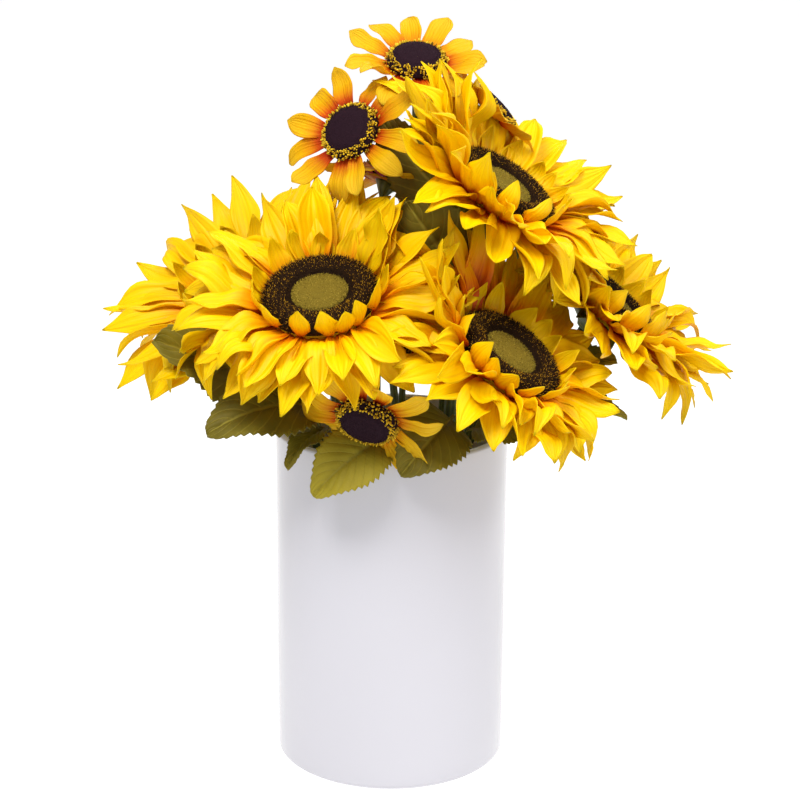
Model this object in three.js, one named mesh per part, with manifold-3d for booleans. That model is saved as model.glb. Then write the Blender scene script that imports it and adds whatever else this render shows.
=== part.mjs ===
// Sunflowers in a plain cylinder vase: five large heads, six small ones, leaves and stems.
// Millimetres, +Z up, the origin in the middle of the vase's flat underside, the front towards -Y.
import * as THREE from 'three';
import { mergeVertices } from 'three/addons/utils/BufferGeometryUtils.js';
import Module from 'manifold-3d';

const wasm = await Module();
wasm.setup();

// ---- driving dimensions ----
const GAP = 0.4;                    // free space between neighbouring pieces

const VASE_RADIUS = 75;
const VASE_HEIGHT = 222.5;
const VASE_WALL = 5;
const VASE_FLOOR = 8;
const VASE_SEGMENTS = 36;

const STEM_SIDES = 6;
const STEM_RINGS = 11;
const STEM_FOOT_SCALE = 0.56;       // how far the stem feet draw together on the vase floor

// One large head: the disc sits on three rings of petals, with the calyx behind them.
const LARGE = {
  discRadius: 35, discHeight: 11, discSegments: 14,
  hubRadius: 38, hubBore: 6, hubThick: 1.0,
  stemRadius: 4.2, calyxDepth: 16, calyxRadius: 27,
  layers: [
    { name: 'outer_petals', count: 14, length: 59, width: 19, start: 6, bend: -38,
      lift: 0, swing: 0, low: 4.0, stations: [0, 0.3, 0.68] },
    { name: 'middle_petals', count: 14, length: 55, width: 18, start: 22, bend: -30,
      lift: 5, swing: 0.5, low: 2.5, stations: [0, 0.3, 0.68] },
    { name: 'inner_petals', count: 12, length: 25, width: 12, start: 24, bend: 48,
      lift: 4, swing: 0.25, low: 1.0, stations: [0, 0.55] },
  ],
};

// One small head: a domed disc on one ring of petals; its stem ends in a moulded cup.
const SMALL = {
  discRadius: 19, discHeight: 10, discSegments: 12,
  hubRadius: 20.5, hubBore: 2, hubThick: 1.0,
  stemRadius: 2.4, calyxDepth: 9, calyxRadius: 9,
  layers: [
    { name: 'petals', count: 12, length: 29, width: 13.5, start: 12, bend: -22,
      lift: 0, swing: 0, low: 1.0, stations: [0, 0.5] },
  ],
};

// Heads: centre of the disc's base, the way the face looks, size, where the stem passes the mouth,
// how far the petals on the high side rise and those on the low side droop (degrees).
const HEADS = [
  { id: 'front_left', kind: LARGE, at: [-43, -62, 319], face: [-0.10, -0.44, 0.89],
    mouth: [-30, -40], tilt: 4, sweep: 18, reach: 0.99, uneven: 0.05 },
  { id: 'top_right', kind: LARGE, at: [67, -8, 376], face: [0.53, -0.22, 0.82],
    mouth: [37, 2], tilt: 4, sweep: 22, reach: 1.0, uneven: 0.09, lean: -45 },
  { id: 'low_right', kind: LARGE, at: [69, -66, 284], face: [0.54, -0.29, 0.79],
    mouth: [37, -34], tilt: 3, sweep: 20, reach: 0.95, uneven: 0.12 },
  { id: 'far_right', kind: LARGE, at: [139, 30, 295], face: [0.63, -0.07, 0.77],
    mouth: [55, 22], tilt: 12, sweep: 10, reach: 1.0, uneven: -0.05 },
  { id: 'far_left', kind: LARGE, at: [-96, 36, 303], face: [-0.38, -0.36, 0.85],
    mouth: [-52, 16], tilt: 6, sweep: 12, reach: 1.2, uneven: -0.04 },
  { id: 'crown', kind: SMALL, at: [14, 42, 449], face: [0.04, -0.43, 0.90],
    mouth: [6, 46], tilt: 6, sweep: 12, reach: 1.0, uneven: 0 },
  { id: 'upper_left', kind: SMALL, at: [-26, 6, 410], face: [-0.45, -0.69, 0.57],
    mouth: [-27, 9], tilt: 4, sweep: 10, reach: 1.0, uneven: 0 },
  { id: 'low_front', kind: SMALL, at: [-14, -90, 253], face: [-0.27, -0.76, -0.59],
    mouth: [-5, -57], tilt: 4, sweep: -8, reach: 1.0, uneven: 0 },
  { id: 'upper_right', kind: SMALL, at: [62, 60, 416], face: [0.72, 0.08, 0.69],
    mouth: [33, 40], tilt: 4, sweep: 12, reach: 0.98, uneven: 0 },
  { id: 'shaded', kind: SMALL, at: [-3, 34, 375], face: [0.35, 0.30, 0.88],
    mouth: [-10, 25], tilt: 2, sweep: 10, reach: 0.95, uneven: 0 },
  { id: 'tucked', kind: SMALL, at: [0, -18, 286], face: [0.05, -0.50, 0.86],
    mouth: [4, -12], tilt: 14, sweep: 12, reach: 0.9, uneven: 0 },
];

// Stems that need a waypoint between the head and the mouth of the vase.
const STEM_WAYPOINTS = {
  low_front: [[-6, -62, 252]],
  upper_left: [[-33, 9, 372], [-30, 8, 300]],
  crown: [[14, 62, 385], [11, 56, 300]],
  shaded: [[-9, 28, 345]],
  far_right: [[112, 32, 255], [78, 26, 235]],
  far_left: [[-84, 30, 265]],
};

// Leaves: root beside a stem, tip, the way the upper side looks, width, and how far the middle bows up.
const LEAVES = [
  { id: 'left_upper', root: [-70, 16, 248], tip: [-146, -26, 286],
    up: [0.15, -0.62, 0.77], width: 50, bow: -6 },
  { id: 'left_lower', root: [-39, -44, 247], tip: [-112, -84, 243],
    up: [-0.10, -0.55, 0.83], width: 52, bow: 10 },
  { id: 'rim_left', root: [-37, -48, 235], tip: [-64, -87, 222],
    up: [-0.20, -0.30, 0.93], width: 17, bow: 6 },
  { id: 'rim_front', root: [1, -62, 235], tip: [-48, -92, 205],
    up: [-0.15, -0.80, 0.58], width: 38, bow: 9 },
  { id: 'rim_middle', root: [39, -49.5, 243.5], tip: [6, -93, 219],
    up: [0.20, -0.75, 0.63], width: 30, bow: 9 },
  { id: 'rim_right', root: [47, -42, 232], tip: [88, -56, 232],
    up: [0.10, -0.35, 0.93], width: 26, bow: 5 },
  { id: 'centre_upper', root: [53, 8, 346], tip: [-12, 12, 421],
    up: [-0.45, -0.80, 0.35], width: 32, bow: 5 },
  { id: 'centre_lower', root: [50, -3, 316], tip: [8, -28, 372],
    up: [-0.40, -0.78, 0.45], width: 34, bow: 6 },
  { id: 'right_upper', root: [86, 20, 245], tip: [142, -6, 270],
    up: [0.15, -0.50, 0.85], width: 34, bow: 6 },
  { id: 'right_lower', root: [67, 14, 233], tip: [148, -32, 240],
    up: [0.20, -0.40, 0.90], width: 34, bow: 8 },
  { id: 'back', root: [14, 53, 246], tip: [36, 120, 262], up: [0.05, -0.30, 0.95], width: 44, bow: 12 },
];
const LEAF_THICK = 1.2;
const PETAL_THICK = 1.2;
const FREE_FOOT = 4;                // length of a petal's foot that may stay close to its own hub
const SEPAL = { count: 10, length: 26, width: 13, start: -8, bend: -20 };

// ---- small tools ----
const rad = THREE.MathUtils.degToRad;

// Repeatable random numbers, so that every build gives the same bunch.
function makeRandom(seed) {
  let state = seed >>> 0;
  return () => {
    state = (state + 0x6d2b79f5) >>> 0;
    let t = Math.imul(state ^ (state >>> 15), 1 | state);
    t = (t + Math.imul(t ^ (t >>> 7), 61 | t)) ^ t;
    return ((t ^ (t >>> 14)) >>> 0) / 4294967296;
  };
}

// Bare solid from a three.js geometry, and back.
function toSolid(geometry) {
  const bare = geometry.clone();
  for (const name of Object.keys(bare.attributes)) {
    if (name !== 'position') bare.deleteAttribute(name);
  }
  const welded = mergeVertices(bare, 1e-4);
  return new wasm.Manifold(new wasm.Mesh({
    numProp: 3,
    vertProperties: new Float32Array(welded.attributes.position.array),
    triVerts: new Uint32Array(welded.index.array),
  }));
}

function toGeometry(solid) {
  const mesh = solid.getMesh();
  const geometry = new THREE.BufferGeometry();
  const count = mesh.vertProperties.length / mesh.numProp;
  const places = new Float32Array(count * 3);
  for (let i = 0; i < count; i += 1) {
    for (let k = 0; k < 3; k += 1) places[3 * i + k] = mesh.vertProperties[mesh.numProp * i + k];
  }
  geometry.setAttribute('position', new THREE.BufferAttribute(places, 3));
  geometry.setIndex(Array.from(mesh.triVerts));
  geometry.computeVertexNormals();
  return geometry;
}

// A closed skin from points and triangles, turned so that it faces out.
function skin(places, faces) {
  const geometry = new THREE.BufferGeometry();
  const flat = places.flatMap((p) => [p.x, p.y, p.z]);
  geometry.setAttribute('position', new THREE.Float32BufferAttribute(flat, 3));
  geometry.setIndex(faces.flat());
  if (toSolid(geometry).volume() < 0) geometry.setIndex(faces.flatMap(([a, b, c]) => [a, c, b]));
  geometry.computeVertexNormals();
  return geometry;
}

// Closed skin over rings of points that all have the same count; an end may be a single point.
function loft(rings) {
  const places = [];
  const faces = [];
  const starts = [];
  for (const ring of rings) {
    starts.push(places.length);
    places.push(...ring);
  }
  const cap = (ring, first, turn) => {
    for (let i = 1; i < ring.length - 1; i += 1) {
      faces.push(turn ? [first, first + i + 1, first + i] : [first, first + i, first + i + 1]);
    }
  };
  if (rings[0].length > 1) cap(rings[0], starts[0], true);
  const last = rings.length - 1;
  if (rings[last].length > 1) cap(rings[last], starts[last], false);
  for (let k = 0; k < last; k += 1) {
    const sides = Math.max(rings[k].length, rings[k + 1].length);
    for (let i = 0; i < sides; i += 1) {
      const j = (i + 1) % sides;
      const a = starts[k] + (rings[k].length > 1 ? i : 0);
      const b = starts[k] + (rings[k].length > 1 ? j : 0);
      const c = starts[k + 1] + (rings[k + 1].length > 1 ? i : 0);
      const d = starts[k + 1] + (rings[k + 1].length > 1 ? j : 0);
      if (a !== b) faces.push([a, b, d]);
      if (c !== d) faces.push([a, d, c]);
    }
  }
  return skin(places, faces);
}

// A turned solid about +Z from radius and height pairs that start and end on the axis.
function turned(profile, segments) {
  const points = profile.map(([r, z]) => new THREE.Vector2(r, z));
  const geometry = new THREE.LatheGeometry(points, segments);
  geometry.rotateX(Math.PI / 2);
  return toGeometry(outward(toSolid(geometry), geometry));
}

function outward(solid, geometry) {
  if (solid.volume() > 0) return solid;
  const index = Array.from(geometry.index.array);
  for (let i = 0; i < index.length; i += 3) [index[i + 1], index[i + 2]] = [index[i + 2], index[i + 1]];
  const turnedOver = geometry.clone();
  turnedOver.setIndex(index);
  return toSolid(turnedOver);
}

// ---- frames and free space ----
// The frame of a head: Z looks out of the face, Y climbs the face's slope, X completes it.
function headFrame(head) {
  const z = new THREE.Vector3(...head.face).normalize();
  const up = new THREE.Vector3(0, 0, 1);
  const y = up.clone().addScaledVector(z, -up.dot(z)).normalize();
  const x = y.clone().cross(z);
  return new THREE.Matrix4().makeBasis(x, y, z).setPosition(...head.at);
}

// A store of points that are taken, in cells, so that a new piece can ask whether it is clear.
const CELL = 4;
const taken = new Map();
function cellKey(p) {
  return `${Math.floor(p.x / CELL)},${Math.floor(p.y / CELL)},${Math.floor(p.z / CELL)}`;
}
function take(points, owner, size) {
  for (const p of points) {
    const key = cellKey(p);
    if (!taken.has(key)) taken.set(key, []);
    taken.get(key).push({ p, owner, size });
  }
}
function isClear(points, ignored, size) {
  for (const p of points) {
    for (let i = -1; i <= 1; i += 1) {
      for (let j = -1; j <= 1; j += 1) {
        for (let k = -1; k <= 1; k += 1) {
          const near = taken.get(cellKey(new THREE.Vector3(p.x + i * CELL, p.y + j * CELL, p.z + k * CELL)));
          if (!near) continue;
          for (const other of near) {
            if (other.p.distanceTo(p) < size + other.size && !ignored.includes(other.owner)) return false;
          }
        }
      }
    }
  }
  return true;
}

// ---- petals ----
// Width of a petal along its length, as a share of its full width.
function petalShare(s) {
  if (s < 0.6) return 0.42 + 0.58 * Math.sin((s / 0.6) * Math.PI / 2);
  return Math.sqrt(Math.max(0, 1 - ((s - 0.6) / 0.4) ** 2));
}

// The middle line of a petal: it leaves the hub at one slope and ends at another (radians).
function petalLine(startRadius, height, startSlope, endSlope, length, s) {
  const steps = 12;
  let r = startRadius;
  let z = height;
  for (let i = 0; i < steps; i += 1) {
    const at = s * (i + 0.5) / steps;
    const slope = startSlope + (endSlope - startSlope) * at;
    r += Math.cos(slope) * length * s / steps;
    z += Math.sin(slope) * length * s / steps;
  }
  return [r, z];
}

// A point of a petal: a share of its length, a share of its half width, and a height over its middle surface.
function petalPoint(shape, s, across, over = 0) {
  const [r, z] = petalLine(shape.from, shape.height, shape.startSlope, shape.endSlope, shape.length, s);
  const slope = s === 0 ? 0 : shape.startSlope + (shape.endSlope - shape.startSlope) * s;
  const lift = over + (s === 0 ? 0 : shape.cup * Math.abs(across) * petalShare(s));
  const out = r - lift * Math.sin(slope);
  const side = across * petalShare(s) * shape.width / 2;
  const cos = Math.cos(shape.azimuth);
  const sin = Math.sin(shape.azimuth);
  return new THREE.Vector3(out * sin + side * cos, out * cos - side * sin, z + lift * Math.cos(slope));
}

// Cross-sections of a petal from its foot to its point: left edge, under, right edge, over.
function petalRings(shape) {
  const rings = shape.stations.map((s) => [
    petalPoint(shape, s, -1),
    petalPoint(shape, s, 0, -PETAL_THICK / 2),
    petalPoint(shape, s, 1),
    petalPoint(shape, s, 0, PETAL_THICK / 2),
  ]);
  rings.push([petalPoint(shape, 1, 0)]);
  return rings;
}

// One closed skin: a flat hub whose rim runs out into petals.  The upper and the lower profile are
// radius and height pairs from the rim inwards; they end on the axis or meet round a bore.
function petalStar(shapes, upper, lower) {
  const places = [];
  const faces = [];
  const put = (p) => places.push(p) - 1;
  const count = shapes.length;
  const rims = shapes.map((shape) => {
    const rings = petalRings(shape).map((ring) => ring.map(put));
    for (let k = 0; k + 1 < rings.length; k += 1) {
      for (let i = 0; i < 4; i += 1) {
        const j = (i + 1) % 4;
        const next = rings[k + 1];
        if (next.length === 1) faces.push([rings[k][i], rings[k][j], next[0]]);
        else faces.push([rings[k][i], rings[k][j], next[j]], [rings[k][i], next[j], next[i]]);
      }
    }
    return rings[0];
  });
  const side = (profile, crest, flip) => {
    const add = (a, b, c) => faces.push(flip ? [a, c, b] : [a, b, c]);
    let inner = null;
    profile.forEach(([r, z], k) => {
      const ring = r === 0
        ? [put(new THREE.Vector3(0, 0, z))]
        : shapes.map(({ azimuth }) => {
          const place = new THREE.Vector3(r * Math.sin(azimuth), r * Math.cos(azimuth), z);
          return put(place);
        });
      for (let i = 0; i < count; i += 1) {
        const j = (i + 1) % count;
        const here = ring[i % ring.length];
        const there = ring[j % ring.length];
        if (k === 0) {
          add(rims[i][0], rims[i][crest], here);
          add(rims[i][crest], rims[i][2], here);
          add(rims[i][2], rims[j][0], here);
          if (here !== there) add(here, rims[j][0], there);
        } else {
          add(inner[i], inner[j], here);
          if (here !== there) add(here, inner[j], there);
        }
      }
      inner = ring;
    });
    return inner;
  };
  const top = side(upper, 3, false);
  const low = side(lower, 1, true);
  if (top.length > 1) {
    for (let i = 0; i < count; i += 1) {
      const j = (i + 1) % count;
      faces.push([top[i], top[j], low[j]], [top[i], low[j], low[i]]);
    }
  }
  return skin(places, faces);
}

// Points over a petal's middle surface, further out than a given share of its length.
function petalSamples(shape, frame, fromShare) {
  const points = [];
  const along = Math.ceil(shape.length / 2);
  for (let i = 0; i <= along; i += 1) {
    const s = i / along;
    if (s < fromShare) continue;
    const half = Math.max(1, Math.ceil(petalShare(s) * shape.width / 4));
    for (let j = -half; j <= half; j += 1) points.push(petalPoint(shape, s, j / half).applyMatrix4(frame));
  }
  return points;
}

// Try a petal at its natural slope first, then bent up or down, then shorter, until it is clear.
function settlePetal(shape, frame, ignored, fromShare, size, bends) {
  for (const share of [1, 0.88, 0.76, 0.64, 0.52, 0.4]) {
    for (const bend of bends) {
      const trial = {
        ...shape,
        length: shape.length * share,
        width: shape.width * (0.4 + 0.6 * share),
        startSlope: shape.startSlope + rad(bend * 0.5),
        endSlope: shape.endSlope + rad(bend * 1.2),
      };
      if (isClear(petalSamples(trial, frame, fromShare), ignored, size)) return trial;
    }
  }
  return null;
}

// ---- pieces of a head, in its own frame ----
function largeDisc(kind) {
  const r = kind.discRadius;
  const h = kind.discHeight;
  return turned([
    [0, 0], [r - 2, 0], [r, 2.5], [r - 0.5, 6], [r - 4, h - 1], [r - 9, h], [r - 14, h - 2],
    [r - 17, h - 4.5], [r - 20, h - 4], [0, h - 3],
  ], kind.discSegments);
}

function smallDisc(kind) {
  const r = kind.discRadius;
  const h = kind.discHeight;
  return turned([
    [0, 0], [r - 1.5, 0], [r, 2], [r - 1, 5], [r - 4, h - 2], [r * 0.45, h - 0.4], [0, h],
  ], kind.discSegments);
}

// The flat ring that carries one layer of petals.
function petalRingSolid(kind, layer, shapes) {
  const top = -layer.low + kind.hubThick / 2;
  const low = -layer.low - kind.hubThick / 2;
  return petalStar(shapes, [[kind.hubBore, top]], [[kind.hubBore, low]]);
}

function petalShapes(head, layer, random) {
  const kind = head.kind;
  const shapes = [];
  for (let i = 0; i < layer.count; i += 1) {
    const azimuth = ((i + layer.swing) / layer.count) * Math.PI * 2 + (random() - 0.5) * 0.09;
    const high = Math.cos(azimuth - rad(head.lean ?? 0));
    const slope = head.tilt + layer.lift + head.sweep * high + (random() - 0.5) * 9;
    const grow = 1 + head.uneven * high;
    const length = layer.length * head.reach * grow * (0.9 + 0.16 * random());
    shapes.push({
      azimuth,
      from: kind.hubRadius - 2.2,
      height: -layer.low,
      startSlope: rad(layer.start + slope * 0.55),
      endSlope: rad(layer.start + layer.bend + slope * 1.25),
      length,
      width: layer.width * (0.88 + 0.2 * random()),
      cup: 1.6,
      stations: layer.stations,
    });
  }
  return shapes;
}

// The green cup behind a large head, with its sepals.
function calyxSolid(kind, shapes) {
  const top = calyxTop(kind);
  const low = top - kind.calyxDepth;
  return petalStar(
    shapes,
    [[0, top]],
    [[kind.calyxRadius - 5, top - 6], [kind.stemRadius + 4, low + 3], [kind.stemRadius + 2.5, low], [0, low]],
  );
}

function calyxTop(kind) {
  return -kind.layers[0].low - kind.hubThick / 2 - 2 * GAP;
}

function sepalShapes(head, random) {
  const kind = head.kind;
  const top = calyxTop(kind);
  const shapes = [];
  for (let i = 0; i < SEPAL.count; i += 1) {
    const azimuth = ((i + 0.5) / SEPAL.count) * Math.PI * 2;
    const slope = head.tilt + head.sweep * Math.cos(azimuth) + (random() - 0.5) * 4;
    shapes.push({
      azimuth,
      from: kind.calyxRadius - 3,
      height: top - PETAL_THICK / 2,
      startSlope: rad(SEPAL.start + slope * 0.3),
      endSlope: rad(SEPAL.start + SEPAL.bend + slope * 0.9),
      length: SEPAL.length * (0.9 + 0.2 * random()),
      width: SEPAL.width,
      cup: 0.8,
      stations: [0, 0.5],
    });
  }
  return shapes;
}

// ---- stems ----
// Depth from the disc's base to where the stem ends: under the calyx, or under the ring of a small head.
function stemTop(kind) {
  const under = -kind.layers[0].low - kind.hubThick / 2 - GAP;
  return kind === LARGE ? calyxTop(kind) - kind.calyxDepth - GAP : under;
}

function stemCurve(head) {
  const kind = head.kind;
  const frame = headFrame(head);
  const end = stemTop(kind) - (kind === SMALL ? kind.calyxDepth : 0);
  const top = new THREE.Vector3(0, 0, end).applyMatrix4(frame);
  const neck = new THREE.Vector3(0, 0, end - 10).applyMatrix4(frame);
  const mouth = new THREE.Vector3(head.mouth[0], head.mouth[1], VASE_HEIGHT - 2);
  const [mouthX, mouthY] = head.mouth;
  const foot = new THREE.Vector3(mouthX * STEM_FOOT_SCALE, mouthY * STEM_FOOT_SCALE, VASE_FLOOR + 2);
  const middle = mouth.clone().lerp(foot, 0.5);
  const between = (STEM_WAYPOINTS[head.id] ?? []).map((p) => new THREE.Vector3(...p));
  return new THREE.CatmullRomCurve3([top, neck, ...between, mouth, middle, foot], false, 'centripetal');
}

function ringAround(centre, along, radius, sides) {
  const helper = Math.abs(along.x) < 0.8 ? new THREE.Vector3(1, 0, 0) : new THREE.Vector3(0, 1, 0);
  const u = helper.clone().cross(along).normalize();
  const v = along.clone().cross(u).normalize();
  const ring = [];
  for (let i = 0; i < sides; i += 1) {
    const turn = (i / sides) * Math.PI * 2;
    const across = centre.clone().addScaledVector(u, radius * Math.cos(turn));
    ring.push(across.addScaledVector(v, radius * Math.sin(turn)));
  }
  return ring;
}

// Rings of a stem from its foot to its head; a small head's stem widens into a cup under the petals.
function stemSolid(head) {
  const kind = head.kind;
  const curve = stemCurve(head);
  const face = new THREE.Vector3(...head.face).normalize();
  const frame = headFrame(head);
  const rings = [];
  for (let i = 0; i <= STEM_RINGS; i += 1) {
    const centre = curve.getPointAt(1 - i / STEM_RINGS);
    const along = i === STEM_RINGS ? face : curve.getTangentAt(1 - i / STEM_RINGS).negate();
    rings.push(ringAround(centre, along, kind.stemRadius, STEM_SIDES));
  }
  if (kind === SMALL) {
    const top = stemTop(kind);
    for (const [r, z] of [[kind.calyxRadius - 1.5, top - 2.5], [kind.calyxRadius, top]]) {
      rings.push(ringAround(new THREE.Vector3(0, 0, z).applyMatrix4(frame), face, r, STEM_SIDES));
    }
  }
  return loft(rings);
}

// ---- leaves ----
function leafShare(s) {
  return s < 0.12 ? 0.07 : 0.07 + 0.93 * Math.sin(Math.PI * Math.min(1, (s - 0.12) / 0.88) ** 0.8) ** 0.8;
}

function leafPoint(leaf, s, across) {
  const root = new THREE.Vector3(...leaf.root);
  const tip = new THREE.Vector3(...leaf.tip);
  const along = tip.clone().sub(root);
  const side = along.clone().cross(new THREE.Vector3(...leaf.up)).normalize();
  const up = side.clone().cross(along).normalize();
  const width = leafShare(s) * leaf.width / 2;
  const bow = leaf.bow * Math.sin(Math.PI * s);
  return root.addScaledVector(along, s)
    .addScaledVector(side, across * width)
    .addScaledVector(up, bow + Math.abs(across) * width * 0.16);
}

function leafSolid(leaf) {
  const up = new THREE.Vector3(...leaf.up).normalize();
  const rings = [0, 0.12, 0.26, 0.45, 0.64, 0.83].map((s) => {
    const middle = leafPoint(leaf, s, 0);
    const under = middle.clone().addScaledVector(up, -LEAF_THICK);
    return [leafPoint(leaf, s, -1), under, leafPoint(leaf, s, 1), middle];
  });
  rings.push([leafPoint(leaf, 1, 0)]);
  return loft(rings);
}

function leafSamples(leaf) {
  const points = [];
  for (let s = 0; s <= 1.0001; s += 0.02) {
    const half = Math.max(1, Math.ceil(leafShare(s) * leaf.width / 4));
    for (let j = -half; j <= half; j += 1) points.push(leafPoint(leaf, s, j / half));
  }
  return points;
}

// ---- the vase ----
function vaseSolid() {
  const r = VASE_RADIUS;
  const inner = VASE_RADIUS - VASE_WALL;
  const h = VASE_HEIGHT;
  return turned([
    [0, 0], [r - 3.5, 0], [r - 1, 1.1], [r, 3.5], [r, h - 2.5], [r - 0.7, h - 0.7], [r - 2.5, h],
    [inner + 0.7, h - 0.7], [inner, h - 2.5], [inner, VASE_FLOOR + 6], [inner - 2, VASE_FLOOR + 2],
    [inner - 6, VASE_FLOOR], [0, VASE_FLOOR],
  ], VASE_SEGMENTS);
}

function vaseSamples() {
  const points = [];
  const places = [[VASE_RADIUS, VASE_HEIGHT - 0.5], [VASE_RADIUS - VASE_WALL, VASE_HEIGHT - 0.5]];
  for (let below = 4.5; below < 25; below += 4) places.push([VASE_RADIUS, VASE_HEIGHT - below]);
  for (let i = 0; i < 240; i += 1) {
    const turn = (i / 240) * Math.PI * 2;
    for (const [r, z] of places) {
      points.push(new THREE.Vector3(r * Math.cos(turn), r * Math.sin(turn), z));
    }
  }
  return points;
}

// Points through a head's hub, disc and cup between two heights.
function headSamples(kind, low, high) {
  const points = [];
  for (let r = 0; r <= kind.hubRadius; r += 3) {
    const count = Math.max(1, Math.round(r * 2));
    for (let i = 0; i < count; i += 1) {
      const turn = (i / count) * Math.PI * 2;
      for (let z = low; z < high; z += 3) {
        const widest = kind.hubRadius + Math.min(0, z + 4) * 1.6;
        if (r <= widest) points.push(new THREE.Vector3(r * Math.cos(turn), r * Math.sin(turn), z));
      }
    }
  }
  return points;
}

// ---- materials ----
const finish = {
  glaze: { color: 0xf2f0f4, roughness: 0.08 },
  petal: { color: 0xffc900, roughness: 0.62 },
  golden: { color: 0xf2a617, roughness: 0.66 },
  seed: { color: 0x3a2410, roughness: 0.9 },
  dark: { color: 0x26101c, roughness: 0.92 },
  leaf: { color: 0x5f6420, roughness: 0.6 },
  stem: { color: 0x55702a, roughness: 0.5 },
};

const group = new THREE.Group();
group.name = 'sunflowers_in_vase';

function addPiece(name, geometry, look) {
  const mesh = new THREE.Mesh(geometry, new THREE.MeshStandardMaterial({ ...look, metalness: 0 }));
  mesh.name = name;
  group.add(mesh);
}

// ---- assembly ----
addPiece('vase', vaseSolid(), finish.glaze);
take(vaseSamples(), 'vase', 1.2);

for (const head of HEADS) {
  const frame = headFrame(head);
  const kind = head.kind;
  addPiece(`stem_${head.id}`, stemSolid(head), finish.stem);
  const curve = stemCurve(head);
  const skip = kind === LARGE ? 0 : 6;
  const length = curve.getLength();
  const points = curve.getSpacedPoints(Math.ceil(length / 3)).filter((p, i) => i * 3 >= skip);
  take(points, head.id, kind.stemRadius + 0.6);
  const disc = kind === LARGE ? largeDisc(kind) : smallDisc(kind);
  disc.applyMatrix4(frame);
  addPiece(`disc_${head.id}`, disc, kind === LARGE ? finish.seed : finish.dark);
  take(headSamples(kind, -kind.calyxDepth - 4, -5).map((p) => p.applyMatrix4(frame)), `${head.id}/back`, 2.2);
  take(headSamples(kind, -3, kind.discHeight).map((p) => p.applyMatrix4(frame)), `${head.id}/disc`, 2.2);
}

for (const leaf of LEAVES) {
  addPiece(`leaf_${leaf.id}`, leafSolid(leaf), finish.leaf);
  take(leafSamples(leaf), `leaf_${leaf.id}`, 1.5);
}

const random = makeRandom(41);

// Bends to try, in degrees: petals go either way, sepals only down and away from the petals.
const PETAL_BENDS = [0, 6, -6, 12, -12, 18, -18, 26, 34, -26];
const SEPAL_BENDS = [0, -6, -12, -18, -26];

// Settle a ring of petals one by one, each clear of everything before it.
function settleRing(shapes, frame, owner, ignored, size, bends) {
  return shapes.map((shape) => {
    const settled = settlePetal(shape, frame, ignored, FREE_FOOT / shape.length, size, bends);
    if (settled !== null) take(petalSamples(settled, frame, FREE_FOOT / settled.length), owner, size);
    return settled;
  }).filter((shape) => shape !== null);
}

for (const head of HEADS) {
  const frame = headFrame(head);
  const kind = head.kind;
  if (kind === LARGE) {
    const own = [`${head.id}/back`, `${head.id}/disc`, head.id];
    const sepals = settleRing(sepalShapes(head, random), frame, `${head.id}/calyx`, own, 1.0, SEPAL_BENDS);
    const calyx = calyxSolid(kind, sepals);
    calyx.applyMatrix4(frame);
    addPiece(`calyx_${head.id}`, calyx, finish.stem);
  }
  for (const layer of kind.layers) {
    const trial = petalShapes(head, layer, random);
    const owner = `${head.id}/${layer.name}`;
    const shapes = settleRing(trial, frame, owner, [`${head.id}/back`], 1.1, PETAL_BENDS);
    const ring = petalRingSolid(kind, layer, shapes);
    ring.applyMatrix4(frame);
    addPiece(`${layer.name}_${head.id}`, ring, kind === LARGE ? finish.petal : finish.golden);
  }
}

export default group;
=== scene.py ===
"""Sunflowers in a white cylinder vase: cloth heads, moulded stems and a glazed pot.

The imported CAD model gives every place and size.  Each class below reads its own CAD nodes,
builds a finer mesh along the same lines and dresses it with its own finish.
Metres, +Z up, the front of the bunch towards -Y.
"""

from __future__ import annotations

import logging
import math
from dataclasses import dataclass, field, replace
from enum import Enum
from typing import Callable, Iterable, Sequence

import bpy
import numpy as np
from mathutils import Euler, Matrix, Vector


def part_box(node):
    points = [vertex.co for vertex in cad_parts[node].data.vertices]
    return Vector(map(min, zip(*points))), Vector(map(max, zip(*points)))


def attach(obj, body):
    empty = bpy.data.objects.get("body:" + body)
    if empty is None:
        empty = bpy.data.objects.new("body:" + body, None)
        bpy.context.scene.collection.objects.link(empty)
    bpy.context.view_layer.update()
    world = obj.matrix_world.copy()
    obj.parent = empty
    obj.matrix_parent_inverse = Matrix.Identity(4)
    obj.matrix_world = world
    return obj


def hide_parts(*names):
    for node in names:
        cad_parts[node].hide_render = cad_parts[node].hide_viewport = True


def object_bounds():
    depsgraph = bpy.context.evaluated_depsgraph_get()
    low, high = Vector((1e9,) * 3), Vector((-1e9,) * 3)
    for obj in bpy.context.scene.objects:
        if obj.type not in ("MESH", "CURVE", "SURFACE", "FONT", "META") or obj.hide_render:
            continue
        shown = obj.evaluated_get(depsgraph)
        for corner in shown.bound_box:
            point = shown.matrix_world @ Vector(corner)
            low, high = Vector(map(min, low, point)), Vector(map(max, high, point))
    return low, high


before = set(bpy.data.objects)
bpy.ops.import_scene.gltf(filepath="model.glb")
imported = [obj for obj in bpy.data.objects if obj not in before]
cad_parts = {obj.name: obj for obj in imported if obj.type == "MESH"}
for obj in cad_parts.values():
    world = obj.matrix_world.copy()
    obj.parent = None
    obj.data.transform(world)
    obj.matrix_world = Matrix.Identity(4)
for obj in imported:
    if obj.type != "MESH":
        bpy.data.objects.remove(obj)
CAD_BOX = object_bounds()

MM = 0.001
BODY = "root"
log = logging.getLogger("sunflowers")

WELD = 0.02 * MM
PETAL_SHARE = 0.47
SAME_WAY = 0.012
FOOT_REACH = 3 * MM
GOLDEN_TURN = 2.399963
ROUND = 2 * math.pi

Colour = tuple[float, float, float]
Socket = bpy.types.NodeSocket
Stops = tuple[tuple[float, Colour], ...]


class HeadKind(Enum):
    """The two kinds of flower head in the bunch."""

    LARGE = "large"
    SMALL = "small"


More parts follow.
